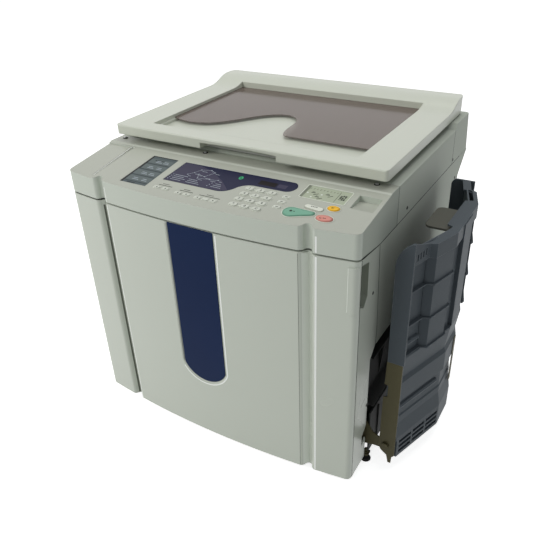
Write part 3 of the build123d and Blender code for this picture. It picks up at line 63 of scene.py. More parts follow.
# Camera, as fitted to the photograph; the focal length is in pixels of a 550-pixel picture
view = {"spot": (645.01, -769.58, 1027.88), "yaw": 31.418, "pitch": 31.240, "roll": -2.073,
        "focal": 614.185, "picture": 550, "sensor": 36, "nearest": 0.05}
camera = bpy.data.objects.new("camera", bpy.data.cameras.new("camera"))
scene.collection.objects.link(camera)
scene.camera = camera
yaw, pitch, roll = (math.radians(view[k]) for k in ("yaw", "pitch", "roll"))
forward = Vector((-math.sin(yaw) * math.cos(pitch), math.cos(yaw) * math.cos(pitch), -math.sin(pitch)))
level = Vector((math.cos(yaw), math.sin(yaw), 0))
upright = level.cross(forward)
rightward = level * math.cos(roll) + upright * math.sin(roll)
upward = upright * math.cos(roll) - level * math.sin(roll)
turn = Matrix((rightward, upward, -forward)).transposed().to_4x4()
camera.matrix_world = Matrix.Translation(at(*view["spot"])) @ turn
camera.data.lens = view["focal"] / view["picture"] * view["sensor"]
camera.data.clip_start = view["nearest"]
scene.view_settings.view_transform = "Standard"
print("stage: camera")

# Light, world and floor, in metres
lamps = {
    "keyLight": {"spot": (-1.9, -2.3, 2.5), "size": (1.6, 1.6), "power": 58, "tint": (1, 0.99, 0.97)},
    "topLight": {"spot": (0.2, 0.4, 3.0), "size": (2.4, 2.0), "power": 25, "tint": (1, 1, 1)},
    "fillLight": {"spot": (2.6, -1.4, 1.4), "size": (1.4, 1.4), "power": 1.5, "tint": (1, 1, 1)},
}
studio = {"aim": (0, 0, 0.35), "worldColor": (0.93, 0.96, 1.0, 1), "worldStrength": 0.31,
          "floorColor": (0.84, 0.84, 0.83, 1), "floorGlow": 0.80, "floorRadius": 9, "floorSides": 64}

for name, lamp in lamps.items():
    data = bpy.data.lights.new(name, "AREA")
    data.shape = "RECTANGLE"
    data.size, data.size_y = lamp["size"]
    data.energy = lamp["power"]
    data.color = lamp["tint"]
    holder = bpy.data.objects.new(name, data)
    scene.collection.objects.link(holder)
    holder.location = lamp["spot"]
    holder.rotation_euler = (Vector(studio["aim"]) - Vector(lamp["spot"])).to_track_quat("-Z", "Y").to_euler()


def backdropRays(tree):  # 1 for the rays that should meet a plain white background
    path = tree.nodes.new("ShaderNodeLightPath")
    total = path.outputs["Is Camera Ray"]
    for other in ("Is Glossy Ray", "Is Transmission Ray"):
        either = tree.nodes.new("ShaderNodeMath")
        either.operation = "MAXIMUM"
        tree.links.new(total, either.inputs[0])
        tree.links.new(path.outputs[other], either.inputs[1])
        total = either.outputs[0]
    return total


world = bpy.data.worlds.new("studio")
scene.world = world
world.use_nodes = True
tree = world.node_tree
tree.nodes.clear()
soft = tree.nodes.new("ShaderNodeBackground")
soft.inputs["Color"].default_value = studio["worldColor"]
soft.inputs["Strength"].default_value = studio["worldStrength"]
white = tree.nodes.new("ShaderNodeBackground")
white.inputs["Color"].default_value = (1, 1, 1, 1)
white.inputs["Strength"].default_value = 1.0
mixer = tree.nodes.new("ShaderNodeMixShader")
out = tree.nodes.new("ShaderNodeOutputWorld")
tree.links.new(backdropRays(tree), mixer.inputs[0])
tree.links.new(soft.outputs[0], mixer.inputs[1])
tree.links.new(white.outputs[0], mixer.inputs[2])
tree.links.new(mixer.outputs[0], out.inputs[0])

floorMesh = bpy.data.meshes.new("floor")
maker = bmesh.new()
bmesh.ops.create_circle(maker, cap_ends=True, segments=studio["floorSides"], radius=studio["floorRadius"])
maker.to_mesh(floorMesh)
maker.free()
floor = bpy.data.objects.new("floor", floorMesh)
scene.collection.objects.link(floor)
floorLook = bpy.data.materials.new("floorLook")
floorLook.use_nodes = True
tree = floorLook.node_tree
tree.nodes.clear()
matte = tree.nodes.new("ShaderNodeBsdfDiffuse")
matte.inputs["Color"].default_value = studio["floorColor"]
glow = tree.nodes.new("ShaderNodeEmission")
share = tree.nodes.new("ShaderNodeMath")
share.operation = "MULTIPLY"
share.inputs[1].default_value = studio["floorGlow"]
tree.links.new(backdropRays(tree), share.inputs[0])
tree.links.new(share.outputs[0], glow.inputs["Strength"])
adder = tree.nodes.new("ShaderNodeAddShader")
out = tree.nodes.new("ShaderNodeOutputMaterial")
tree.links.new(matte.outputs[0], adder.inputs[0])
tree.links.new(glow.outputs[0], adder.inputs[1])
tree.links.new(adder.outputs[0], out.inputs[0])
floorMesh.materials.append(floorLook)
floor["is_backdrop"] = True
print("stage: light and floor")


# Steps that the materials share
def mapped(tree, value, start, stop):  # 0 at start, 1 at stop and held beyond them
    step = tree.nodes.new("ShaderNodeMapRange")
    step.inputs["From Min"].default_value = start
    step.inputs["From Max"].default_value = stop
    tree.links.new(value, step.inputs["Value"])
    return step.outputs[0]


def multiplied(tree, first, second):  # the second is a socket or a plain number
    times = tree.nodes.new("ShaderNodeMath")
    times.operation = "MULTIPLY"
    tree.links.new(first, times.inputs[0])
    if isinstance(second, (int, float)):
        times.inputs[1].default_value = second
    else:
        tree.links.new(second, times.inputs[1])
    return times.outputs[0]


def blended(tree, factor, first, second):  # a colour mix whose second colour is a fixed one
    mix = tree.nodes.new("ShaderNodeMix")
    mix.data_type = "RGBA"
    tree.links.new(factor, mix.inputs["Factor"])
    if isinstance(first, tuple):
        mix.inputs["A"].default_value = first
    else:
        tree.links.new(first, mix.inputs["A"])
    mix.inputs["B"].default_value = second
    return mix.outputs["Result"]


def speckled(tree, scale, detail, roughness=0.5):
    place = tree.nodes.new("ShaderNodeTexCoord")
    noise = tree.nodes.new("ShaderNodeTexNoise")
    noise.inputs["Detail"].default_value = detail
    noise.inputs["Roughness"].default_value = roughness
    tree.links.new(place.outputs["Object"], noise.inputs["Vector"])
    tree.links.new(scale, noise.inputs["Scale"])
    return noise.outputs[0]


def newGroup(name, takes, gives):
    group = bpy.data.node_groups.new(name, "ShaderNodeTree")
    for socket, value in takes.items():
        face = group.interface.new_socket(name=socket, in_out="INPUT", socket_type="NodeSocketFloat")
        face.default_value = value
    for socket in gives:
        group.interface.new_socket(name=socket, in_out="OUTPUT", socket_type="NodeSocketFloat")
    return group, group.nodes.new("NodeGroupInput"), group.nodes.new("NodeGroupOutput")


grainSteps = {"cloudDetail": 4, "grainDetail": 2, "scuffNoise": (8, 0.75), "scuffed": (0.58, 0.80)}
edgeSteps = {"turned": (0.995, 0.90), "outward": (0.49, 0.53), "patches": (0.2, 0.5), "patchDetail": 3}
bevelSamples = 4


def grainGroup():  # tone, height and wear of moulded and painted surfaces
    takes = {"Cloud Scale": 5.0, "Grain Scale": 1400.0, "Scuff Scale": 40.0}
    group, source, sink = newGroup("surfaceGrain", takes, ("Tone", "Height", "Wear"))
    cloud = speckled(group, source.outputs["Cloud Scale"], grainSteps["cloudDetail"])
    grain = speckled(group, source.outputs["Grain Scale"], grainSteps["grainDetail"])
    scuff = speckled(group, source.outputs["Scuff Scale"], *grainSteps["scuffNoise"])
    group.links.new(cloud, sink.inputs["Tone"])
    group.links.new(grain, sink.inputs["Height"])
    group.links.new(mapped(group, scuff, *grainSteps["scuffed"]), sink.inputs["Wear"])
    return group


def edgeGroup():  # painted highlight and wear: a mask that is 1 along the outward edges, broken up by patches
    group, source, sink = newGroup("edgeHighlightAndWear", {"Patch Scale": 60.0, "Width": 0.001}, ("HighlightAndWear",))
    shape = group.nodes.new("ShaderNodeNewGeometry")
    corner = group.nodes.new("ShaderNodeBevel")
    corner.samples = bevelSamples
    group.links.new(source.outputs["Width"], corner.inputs["Radius"])
    turned = group.nodes.new("ShaderNodeVectorMath")
    turned.operation = "DOT_PRODUCT"
    group.links.new(corner.outputs[0], turned.inputs[0])
    group.links.new(shape.outputs["Normal"], turned.inputs[1])
    highlightAndWear = mapped(group, turned.outputs["Value"], *edgeSteps["turned"])
    highlightAndWear = multiplied(group, highlightAndWear, mapped(group, shape.outputs["Pointiness"], *edgeSteps["outward"]))
    patches = speckled(group, source.outputs["Patch Scale"], edgeSteps["patchDetail"])
    highlightAndWear = multiplied(group, highlightAndWear, mapped(group, patches, *edgeSteps["patches"]))
    group.links.new(highlightAndWear, sink.inputs["HighlightAndWear"])
    return group


surfaceGrain = grainGroup()
edgeHighlightAndWear = edgeGroup()


def hue(code):  # linear colour from an sRGB triple of 0 to 255
    parts = [c / 255 for c in code]
    return (*(c / 12.92 if c <= 0.04045 else ((c + 0.055) / 1.055) ** 2.4 for c in parts), 1)


# What a look has when it doesn't say otherwise
plainLook = {"cloud": 5.0, "grain": 1400.0, "scuff": 40.0, "spread": 0.05, "wear": 0.12, "patch": 60.0,
             "edge": 0.0, "edgeWidth": 0.001, "edgeHighlightAndWearColor": (232, 234, 226), "rough": 0.45,
             "roughSpread": 0.06, "metal": 0.0, "specular": 0.4, "clear": 0.0, "alpha": 1.0, "glow": 0.0,
             "bump": 0.12, "depth": 0.0002, "round": 0.0, "paintedTopShadeRange": (0.75, 0.95)}


def finish(name, changes):  # a procedural material from the dictionary of its look
    look = {**plainLook, "wornColor": changes["color"], **changes}
    material = bpy.data.materials.new(name)
    material.use_nodes = True
    tree = material.node_tree
    new, link = tree.nodes.new, tree.links.new
    tree.nodes.clear()
    out = new("ShaderNodeOutputMaterial")
    shader = new("ShaderNodeBsdfPrincipled")
    link(shader.outputs[0], out.inputs[0])
    grain = new("ShaderNodeGroup")
    grain.node_tree = surfaceGrain
    for socket, key in (("Cloud Scale", "cloud"), ("Grain Scale", "grain"), ("Scuff Scale", "scuff")):
        grain.inputs[socket].default_value = look[key]
    base = hue(look["color"])
    dark = tuple(c * (1 - look["spread"]) for c in base[:3]) + (1,)
    pale = tuple(min(c * (1 + look["spread"]), 1) for c in base[:3]) + (1,)
    colour = blended(tree, grain.outputs["Tone"], dark, pale)
    wear = multiplied(tree, grain.outputs["Wear"], look["wear"])
    colour = blended(tree, wear, colour, hue(look["wornColor"]))
    if "paintedTopShadeColor" in look:  # painted shade: faces that look up are drawn towards a darker top colour
        shape = new("ShaderNodeNewGeometry")
        apart = new("ShaderNodeSeparateXYZ")
        link(shape.outputs["Normal"], apart.inputs[0])
        paintedTopShade = mapped(tree, apart.outputs["Z"], *look["paintedTopShadeRange"])
        colour = blended(tree, paintedTopShade, colour, hue(look["paintedTopShadeColor"]))
    # Painted highlight and wear along the outward edges, in the look's edge colour
    if look["edge"]:
        highlightAndWear = new("ShaderNodeGroup")
        highlightAndWear.node_tree = edgeHighlightAndWear
        highlightAndWear.inputs["Patch Scale"].default_value = look["patch"]
        highlightAndWear.inputs["Width"].default_value = look["edgeWidth"]
        highlightAndWearShare = multiplied(tree, highlightAndWear.outputs["HighlightAndWear"], look["edge"])
        colour = blended(tree, highlightAndWearShare, colour, hue(look["edgeHighlightAndWearColor"]))
    link(colour, shader.inputs["Base Color"])
    rough = new("ShaderNodeMapRange")
    rough.inputs["To Min"].default_value = look["rough"] - look["roughSpread"]
    rough.inputs["To Max"].default_value = look["rough"] + look["roughSpread"]
    link(grain.outputs["Tone"], rough.inputs["Value"])
    link(rough.outputs[0], shader.inputs["Roughness"])
    for socket, key in (("Metallic", "metal"), ("Specular IOR Level", "specular"),
                        ("Transmission Weight", "clear"), ("Alpha", "alpha")):
        shader.inputs[socket].default_value = look[key]
    if look["glow"]:
        shader.inputs["Emission Color"].default_value = base
        shader.inputs["Emission Strength"].default_value = look["glow"]
    bump = new("ShaderNodeBump")
    bump.inputs["Strength"].default_value = look["bump"]
    bump.inputs["Distance"].default_value = look["depth"]
    link(grain.outputs["Height"], bump.inputs["Height"])
    if look["round"]:
        corner = new("ShaderNodeBevel")
        corner.samples = bevelSamples
        corner.inputs["Radius"].default_value = look["round"]
        link(corner.outputs[0], bump.inputs["Normal"])
    link(bump.outputs[0], shader.inputs["Normal"])
    return material


# Values that the pale covers share, and values that the dark films share
covers = {"spread": 0.012, "cloud": 2.5, "bump": 0.04}
films = {"bump": 0.02, "specular": 0.1}
looks = {
    "shell": {**covers, "color": (196, 202, 190), "rough": 0.27, "roughSpread": 0.015, "round": 0.0011,
              "edge": 0.16},
    "lid": {**covers, "color": (200, 204, 190), "rough": 0.30, "roughSpread": 0.015, "round": 0.0026,
            "edge": 0.16},
    # The panel's faces that look up get painted shade
    "panel": {**covers, "color": (195, 202, 190), "rough": 0.25, "roughSpread": 0.015, "round": 0.0018,
              "edge": 0.3, "paintedTopShadeColor": (177, 180, 168), "specular": 0.3},
    "side": {**covers, "color": (194, 200, 188), "rough": 0.5, "roughSpread": 0.03, "round": 0.0011,
             "edge": 0.3, "specular": 0.03},
    # Painted shade in the finger well
    "wellShade": {"color": (138, 144, 132), "rough": 0.5, "spread": 0.02, "specular": 0.05},
    # Painted highlight, painted sheen and painted shade for the front's edge ribbons and the panel's step
    "paintedHighlight": {"color": (248, 251, 246), "rough": 0.3, "spread": 0.01, "bump": 0.02},
    "sheen": {"color": (220, 226, 215), "rough": 0.3, "spread": 0.01, "bump": 0.02},
    "shade": {**films, "color": (92, 95, 86), "rough": 0.5, "spread": 0.02},
    # Painted shade in the joints between covers
    "seamShade": {"color": (22, 24, 22), "rough": 0.7, "spread": 0.2, "specular": 0.1},
    "smoked": {"color": (122, 108, 100), "rough": 0.12, "roughSpread": 0.03, "alpha": 0.64, "bump": 0.02,
               "edge": 0.9, "edgeWidth": 0.0016, "edgeHighlightAndWearColor": (58, 48, 44)},
    "pad": {"color": (232, 232, 226), "rough": 0.7, "grain": 900.0, "bump": 0.2},
    "glass": {"color": (225, 240, 236), "rough": 0.04, "roughSpread": 0.02, "clear": 0.9, "bump": 0.0},
    "black": {"color": (30, 31, 32), "rough": 0.55, "spread": 0.15, "specular": 0.25},
    "charcoal": {"color": (28, 31, 29), "rough": 0.6, "spread": 0.2, "wear": 0.3, "wornColor": (58, 60, 54),
                 "specular": 0.2},
    "navy": {"color": (20, 38, 74), "rough": 0.3, "spread": 0.14, "bump": 0.02, "cloud": 3.0,
             "specular": 0.05},
    "readout": {**films, "color": (18, 12, 16), "rough": 0.3, "spread": 0.2},
    "tint": {**films, "color": (62, 60, 80), "rough": 0.34, "spread": 0.10},
    "labelBand": {**films, "color": (96, 106, 106), "rough": 0.34, "spread": 0.14},
    "labelDark": {**films, "color": (44, 52, 56), "rough": 0.34, "spread": 0.14},
    # Painted shade at the option window's recessed end
    "optionShade": {"color": (120, 126, 110), "rough": 0.4, "spread": 0.06, "specular": 0.2},
    "lens": {"color": (226, 230, 222), "rough": 0.2, "spread": 0.02},
    "greyKey": {"color": (200, 204, 192), "rough": 0.38, "round": 0.0008, "edge": 0.3, "spread": 0.02},
    "rim": {"color": (208, 213, 199), "rough": 0.34, "round": 0.0004, "edge": 0.4, "spread": 0.02},
    "whiteKey": {"color": (216, 219, 206), "rough": 0.36, "round": 0.001, "spread": 0.02, "edge": 0.3},
    "tealKey": {"color": (116, 168, 144), "rough": 0.36, "round": 0.0012, "specular": 0.25},
    "pinkKey": {"color": (214, 142, 130), "rough": 0.36, "round": 0.0012, "specular": 0.25},
    "yellowKey": {"color": (240, 186, 48), "rough": 0.36, "round": 0.0012, "specular": 0.2},
    # The tray's pale edge colour is painted highlight on its rib edges, with wear
    "tray": {"color": (72, 79, 84), "rough": 0.5, "round": 0.001, "spread": 0.06, "specular": 0.12,
             "edge": 0.9, "edgeWidth": 0.0012, "edgeHighlightAndWearColor": (122, 130, 136), "wear": 0.15,
             "wornColor": (84, 90, 96), "grain": 1100.0, "bump": 0.2},
    "trayLight": {"color": (80, 87, 94), "rough": 0.5, "round": 0.001, "spread": 0.10, "edge": 0.4,
                  "edgeHighlightAndWearColor": (128, 134, 140), "wear": 0.25, "wornColor": (100, 106, 112), "specular": 0.2},
    "fence": {"color": (98, 98, 90), "rough": 0.6, "spread": 0.06, "specular": 0.05, "edge": 0.4,
              "edgeHighlightAndWearColor": (130, 130, 120)},
    "olive": {"color": (72, 68, 46), "rough": 0.46, "metal": 0.2, "round": 0.0006, "spread": 0.08,
              "edge": 0.3, "edgeHighlightAndWearColor": (128, 122, 92), "wear": 0.2, "wornColor": (60, 57, 40),
              "specular": 0.15},
    "zinc": {"color": (176, 178, 178), "rough": 0.34, "metal": 1.0, "round": 0.0005, "spread": 0.08,
             "cloud": 30.0},
    "darkZinc": {"color": (84, 86, 82), "rough": 0.4, "metal": 0.6, "spread": 0.08, "cloud": 30.0},
    "steel": {"color": (168, 171, 170), "rough": 0.4, "metal": 0.9, "spread": 0.10, "cloud": 24.0},
    "pan": {"color": (90, 92, 90), "rough": 0.5, "metal": 0.5, "spread": 0.10},
    "rubber": {"color": (34, 34, 34), "rough": 0.75, "spread": 0.15, "grain": 700.0, "bump": 0.3,
               "specular": 0.2},
    "roller": {"color": (64, 64, 66), "rough": 0.7, "spread": 0.1, "grain": 900.0, "bump": 0.3,
               "specular": 0.25},
    "screen": {"color": (120, 124, 128), "rough": 0.4, "metal": 0.8, "grain": 2600.0, "bump": 0.5,
               "depth": 0.0004},
    "green": {"color": (50, 112, 88), "spread": 0.08, "round": 0.001},
    "unit": {"color": (112, 116, 112), "rough": 0.5, "spread": 0.08, "round": 0.001},
    "ink": {"color": (52, 56, 60), "spread": 0.08, "grain": 1200.0, "specular": 0.25},
    "print": {"color": (46, 50, 46), "rough": 0.5, "specular": 0.1},
    "palePrint": {"color": (168, 176, 184), "rough": 0.5, "spread": 0.08, "specular": 0.1},
    # The glow on the green print is painted light
    "greenPrint": {"color": (60, 170, 110), "rough": 0.4, "spread": 0.06, "specular": 0.1, "glow": 0.25},
}
made = {name: finish(name, look) for name, look in looks.items()}

# The three windows are one CAD node, so its material tells them apart by where they lie
windows = {"look": {"color": (28, 30, 58), "rough": 0.32, "spread": 0.12, "specular": 0.12, "bump": 0.02},
           "label": ("LESS_THAN", -110.0, (78, 88, 90)), "option": ("GREATER_THAN", 165.0, (172, 180, 158))}


def windowMaterial():
    material = finish("windowPlate", windows["look"])
    tree = material.node_tree
    new, link = tree.nodes.new, tree.links.new
    shader = next(n for n in tree.nodes if n.type == "BSDF_PRINCIPLED")
    colour = shader.inputs["Base Color"].links[0].from_socket
    place = new("ShaderNodeTexCoord")
    apart = new("ShaderNodeSeparateXYZ")
    link(place.outputs["Object"], apart.inputs[0])
    for test, edge, code in (windows["label"], windows["option"]):
        side = new("ShaderNodeMath")
        side.operation = test
        side.inputs[1].default_value = at(edge, 0, 0).x
        link(apart.outputs["X"], side.inputs[0])
        colour = blended(tree, side.outputs[0], colour, hue(code))
    link(colour, shader.inputs["Base Color"])
    return material


made["windowPlate"] = windowMaterial()

coats = {
    "side": ["left_side_cover", "right_side_cover", "rear_cover", "scanner_bed", "rear_cap"],
    "shell": ["left_front_column", "right_front_strip", "front_door"],
    "panel": ["control_panel"],
    "lid": ["original_cover"],
    "smoked": ["document_pocket"],
    "pad": ["platen_pad"],
    "glass": ["platen_glass"],
    "black": ["scanner_carriage", "main_motor"],
    "charcoal": ["exit_panel"],
    "fence": ["tray_end_fence"],
    "navy": ["door_stripe"],
    "greyKey": ["mode_keys", "key_star", "key_clear"] + ["key_%d" % k for k in range(10)],
    "whiteKey": ["proof_key"],
    "tealKey": ["start_key"],
    "pinkKey": ["stop_key"],
    "yellowKey": ["reset_key"],
    "tray": ["receiving_tray", "feed_tray"],
    "trayLight": ["tray_guide_front", "tray_guide_rear", "feed_guide_front", "feed_guide_rear"],
    "olive": ["tray_arms", "tray_brackets"],
    "zinc": ["door_hinges", "lid_hinge_mounts", "lid_hinge_arms"],
    "steel": ["front_frame_plate", "rear_frame_plate", "electronics_box"],
    "pan": ["base_pan"],
    "rubber": ["feet"],
    "roller": ["pressure_roller", "pickup_roller", "eject_rollers"],
    "screen": ["print_drum"],
    "green": ["drum_frame"],
    "unit": ["master_maker", "disposal_box"],
    "ink": ["ink_cartridge"],
    "windowPlate": ["panel_windows"],
}
for look, names in coats.items():
    for name in names:
        mesh = nodes[name].data
        mesh.materials.clear()
        mesh.materials.append(made[look])
print("stage: materials")

# Tools for thin pieces: outlines are lists of (x, s), and a place turns (x, s, height) into a point
slope = math.atan2(machine["panelRise"], machine["panelRun"])
panelTurn = Matrix.Rotation(slope, 4, "X")


def onPanel(x, s, h):
    y, z = machine["panelFoot"]
    return at(x, y + s * math.cos(slope) - h * math.sin(slope), z + s * math.sin(slope) + h * math.cos(slope))


def onRight(y, z, h):
    return at(machine["halfWidth"] + h, y, z)


def onLeft(y, z, h):
    return at(-machine["halfWidth"] - h, y, z)


def onRear(x, z, h):
    return at(x, machine["back"] + h, z)


def onBed(x, y, h):
    return at(x, y, machine["bedTop"] + h)


def box(x0, x1, s0, s1):
    return [(x0, s0), (x1, s0), (x1, s1), (x0, s1)]


def ovalLine(x, s, rx, rs, steps=24):
    turns = [2 * math.pi * k / steps for k in range(steps)]
    return [(x + rx * math.cos(a), s + rs * math.sin(a)) for a in turns]


def softBox(x, s, wide, tall, corner, grow=0.0, steps=4):
    points = []
    reach = corner + grow
    for quarter, (sx, ss) in enumerate(((1, 1), (-1, 1), (-1, -1), (1, -1))):
        for k in range(steps + 1):
            a = math.pi / 2 * (quarter + k / steps)
            points.append((x + sx * (wide / 2 - corner) + reach * math.cos(a),
                           s + ss * (tall / 2 - corner) + reach * math.sin(a)))
    return points


def dropLine(ends, grow, steps=12):  # the outline round two circles of different size
    (x1, s1, r1), (x2, s2, r2) = ends
    way = math.atan2(s2 - s1, x2 - x1)
    half = math.acos((r1 - r2) / math.hypot(x2 - x1, s2 - s1))
    points = []
    for x, s, r, start, stop in ((x1, s1, r1, way + half, way + 2 * math.pi - half),
                                 (x2, s2, r2, way - half, way + half)):
        for k in range(steps + 1):
            a = start + (stop - start) * k / steps
            points.append((x + (r + grow) * math.cos(a), s + (r + grow) * math.sin(a)))
    return points


def moved(outline, x, s):
    return [(x + a, s + b) for a, b in outline]


def middleOf(outline):
    return tuple(sum(p[k] for p in outline) / len(outline) for k in (0, 1))


def scaledAbout(outline, keeps):  # each point drawn towards the middle by its own share
    cx, cs = middleOf(outline)
    return [(cx + (x - cx) * keep, cs + (s - cs) * keep) for (x, s), keep in zip(outline, keeps)]


def drawnIn(outline, drawn):  # each point drawn towards the middle by the same length
    cx, cs = middleOf(outline)
    return scaledAbout(outline, [1 - drawn / max(math.hypot(x - cx, s - cs), drawn) for x, s in outline])


def rowOf(maker, outline, place, h):
    return [maker.verts.new(place(x, s, h)) for x, s in outline]


def joined(maker, rows, ring=False):  # faces between neighbouring rows, one of which may be a point
    for a, b in zip(rows, rows[1:] + rows[:1] if ring else rows[1:]):
        count = max(len(a), len(b))
        for k in range(count):
            n = (k + 1) % count
            corners = [a[k % len(a)], a[n % len(a)], b[n % len(b)], b[k % len(b)]]
            maker.faces.new(list(dict.fromkeys(corners)))


def plate(maker, outline, bottom, top, place, chamfer=0.0):
    levels = [(bottom, 0.0), (top - chamfer, 0.0), (top, chamfer)] if chamfer else [(bottom, 0.0), (top, 0.0)]
    rows = [rowOf(maker, drawnIn(outline, drawn), place, h) for h, drawn in levels]
    joined(maker, rows)
    maker.faces.new(rows[0][::-1])
    maker.faces.new(rows[-1])


def frameRing(maker, outer, inner, bottom, top, place):
    lines = ((outer, bottom), (outer, top), (inner, top), (inner, bottom))
    joined(maker, [rowOf(maker, line, place, h) for line, h in lines], ring=True)


def lathe(maker, profile, x, s, place, steps=16):
    rows = [rowOf(maker, ovalLine(x, s, radius, radius, steps if radius else 1), place, h)
            for radius, h in profile]
    joined(maker, rows)
    for row in (rows[0], rows[-1]):
        if len(row) > 1:
            maker.faces.new(row)


def piece(name, maker, look, body):
    bmesh.ops.recalc_face_normals(maker, faces=maker.faces)
    mesh = bpy.data.meshes.new(name)
    maker.to_mesh(mesh)
    maker.free()
    obj = bpy.data.objects.new(name, mesh)
    scene.collection.objects.link(obj)
    mesh.materials.append(made[look])
    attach(obj, body)
    return obj


# Number keys: raised rims round them, small bars between them and a figure on each cap
numberKeys = {"columns": (77.3, 100.7, 124.2), "rows": (19.5, 37.9, 56.2, 74.6),
              "size": (16.0, 10.0, 4.5), "rimGrow": (1.6, 0.5), "rimHeight": 0.7, "sunk": -0.2,
              "barEnd": 9.4, "barHalf": 1.2, "barHeight": 0.45,
              "figureSize": 7.2, "figureLevel": 1.84, "figureThick": 0.00006, "figureBold": 0.00012,
              "names": (("star", "0", "clear"), ("7", "8", "9"), ("4", "5", "6"), ("1", "2", "3")),
              "signs": {"star": "*", "clear": "C"}}

maker = bmesh.new()
end, half = numberKeys["barEnd"], numberKeys["barHalf"]
for s in numberKeys["rows"]:
    for x in numberKeys["columns"]:
        lines = [softBox(x, s, *numberKeys["size"], grow) for grow in numberKeys["rimGrow"]]
        frameRing(maker, *lines, numberKeys["sunk"], numberKeys["rimHeight"], onPanel)
    for x, n in zip(numberKeys["columns"], numberKeys["columns"][1:]):
        bar = box(x + end, n - end, s - half, s + half)
        plate(maker, bar, numberKeys["sunk"], numberKeys["barHeight"], onPanel)
piece("numberKeyRims", maker, "rim", "machine")

for row, s in zip(numberKeys["names"], numberKeys["rows"]):
    for name, x in zip(row, numberKeys["columns"]):
        curve = bpy.data.curves.new("figure_" + name, "FONT")
        curve.body = numberKeys["signs"].get(name, name)
        curve.size = numberKeys["figureSize"] / 1000
        curve.extrude = numberKeys["figureThick"]
        curve.offset = numberKeys["figureBold"]
        curve.align_x = "CENTER"
        curve.align_y = "CENTER"
        curve.materials.append(made["print"])
        figure = bpy.data.objects.new("figure_" + name, curve)
        scene.collection.objects.link(figure)
        figure.matrix_world = Matrix.Translation(onPanel(x, s, numberKeys["figureLevel"])) @ panelTurn
        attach(figure, "key_%s_cap" % name)
print("stage: number keys")

# Large keys: a raised surround, a domed crown and a plain sign on each
largeKeys = {
    "start": {"ends": ((184.0, 33.0, 14.0), (220.0, 40.0, 5.5)), "look": "tealKey"},
    "stop": {"oval": (246.0, 34.5, 15.0, 9.0), "look": "pinkKey"},
    "reset": {"oval": (247.5, 67.0, 11.0, 7.5), "look": "yellowKey"},
}
surround = {"grow": (2.2, 0.6), "height": 0.8, "sunk": -0.2, "ovalSteps": 32}
crown = {"steps": 5, "foot": 1.75, "rise": 1.1, "grow": -0.5}


def keyLine(key, grow):
    if "ends" in key:
        return dropLine(key["ends"], grow)
    x, s, rx, rs = key["oval"]
    return ovalLine(x, s, rx + grow, rs + grow, surround["ovalSteps"])


def dome(maker, outline):  # a shallow crown over a key's flat top
    rows = []
    for step in range(crown["steps"]):
        a = math.pi / 2 * step / crown["steps"]
        line = scaledAbout(outline, [math.cos(a)] * len(outline))
        rows.append(rowOf(maker, line, onPanel, crown["foot"] + crown["rise"] * math.sin(a)))
    rows.append(rowOf(maker, [middleOf(outline)], onPanel, crown["foot"] + crown["rise"]))
    joined(maker, rows)
    maker.faces.new(rows[0][::-1])


maker = bmesh.new()
for key in largeKeys.values():
    lines = [keyLine(key, grow) for grow in surround["grow"]]
    frameRing(maker, *lines, surround["sunk"], surround["height"], onPanel)
piece("largeKeySurrounds", maker, "rim", "machine")

for name, key in largeKeys.items():
    maker = bmesh.new()
    dome(maker, keyLine(key, crown["grow"]))
    cap = piece(name + "KeyCrown", maker, key["look"], name + "_key_cap")
    for face in cap.data.polygons:
        face.use_smooth = True

# A sign has rows of like marks: count, first outline, step to the next, bottom, top and the top's change
signs = {
    "start": {"spot": (184.0, 33.8), "rows": (
        (1, [(-3, 0), (0, -3), (3, 0), (0, 3)], (0, 0), 2.2, 2.95, 0),
        (3, box(5.0, 7.4, -1.0, 1.1), (3.6, 0.5), 2.0, 2.8, -0.12))},
    "stop": {"spot": (240.5, 30.4), "ring": ((0, 2), 2.2, 1.3, 16, 1.9, 2.75), "rows": (
        (2, box(3.8, 5.8, 1.4, 3.4), (3.0, 0), 1.9, 2.9, 0),)},
    "reset": {"spot": (245.5, 66.2), "rows": (
        (2, [(-2.4, -1.6), (-1.2, -1.6), (0.4, 2.0), (-0.8, 2.0)], (2.6, 0), 2.0, 2.95, 0),)},
    "proof": {"spot": (212.5, 59.6), "rows": (
        (4, box(-3.4, -1.2, -1.0, 1.0), (3.2, 0), 1.7, 1.86, 0),)},
}
for name, sign in signs.items():
    maker = bmesh.new()
    x, s = sign["spot"]
    if "ring" in sign:
        (dx, ds), outer, inner, steps, bottom, top = sign["ring"]
        lines = [ovalLine(x + dx, s + ds, radius, radius, steps) for radius in (outer, inner)]
        frameRing(maker, *lines, bottom, top, onPanel)
    for count, outline, (dx, ds), bottom, top, climb in sign["rows"]:
        for k in range(count):
            plate(maker, moved(outline, x + dx * k, s + ds * k), bottom, top + climb * k, onPanel)
    piece(name + "Sign", maker, "print", name + "_key_cap")
print("stage: large keys")

# Small function keys: bars printed above the groups, arrows on their end keys, a dash and a lens on the
# side keys, and raised rims round them all
modeKeys = {"groups": (((-93.4, -73.0), 19.4), ((-41.5, -22.5), 16.0), ((3.5, 20.3, 37.1), 15.0)),
            "side": ((154.0, 38.5), (154.0, 55.5), (154.0, 72.5)), "size": (13.0, 7.0, 2.2),
            "groupRim": (1.3, 0.35), "sideRim": (1.5, 0.35), "rimHeight": 0.5, "sunk": -0.2,
            "top": 1.2, "ink": 0.06, "under": 0.1, "barGap": 9.0, "barEnds": (3, 8), "barTall": 1.5,
            "note": (-9, 6, 5.0, 6.4), "arrow": ((2.2, 0.0), (-1.2, 2.0), (-1.2, -2.0)),
            "dash": (-2.2, 2.6, -0.8, 0.8),
            "lens": ((1.5, 1.1), (1.4, 1.7), (0.8, 2.1), (0, 2.2)), "lensSpot": (-4.6, 0.4), "lensSteps": 12}
under, ink, keyTop = -modeKeys["under"], modeKeys["ink"], modeKeys["top"]

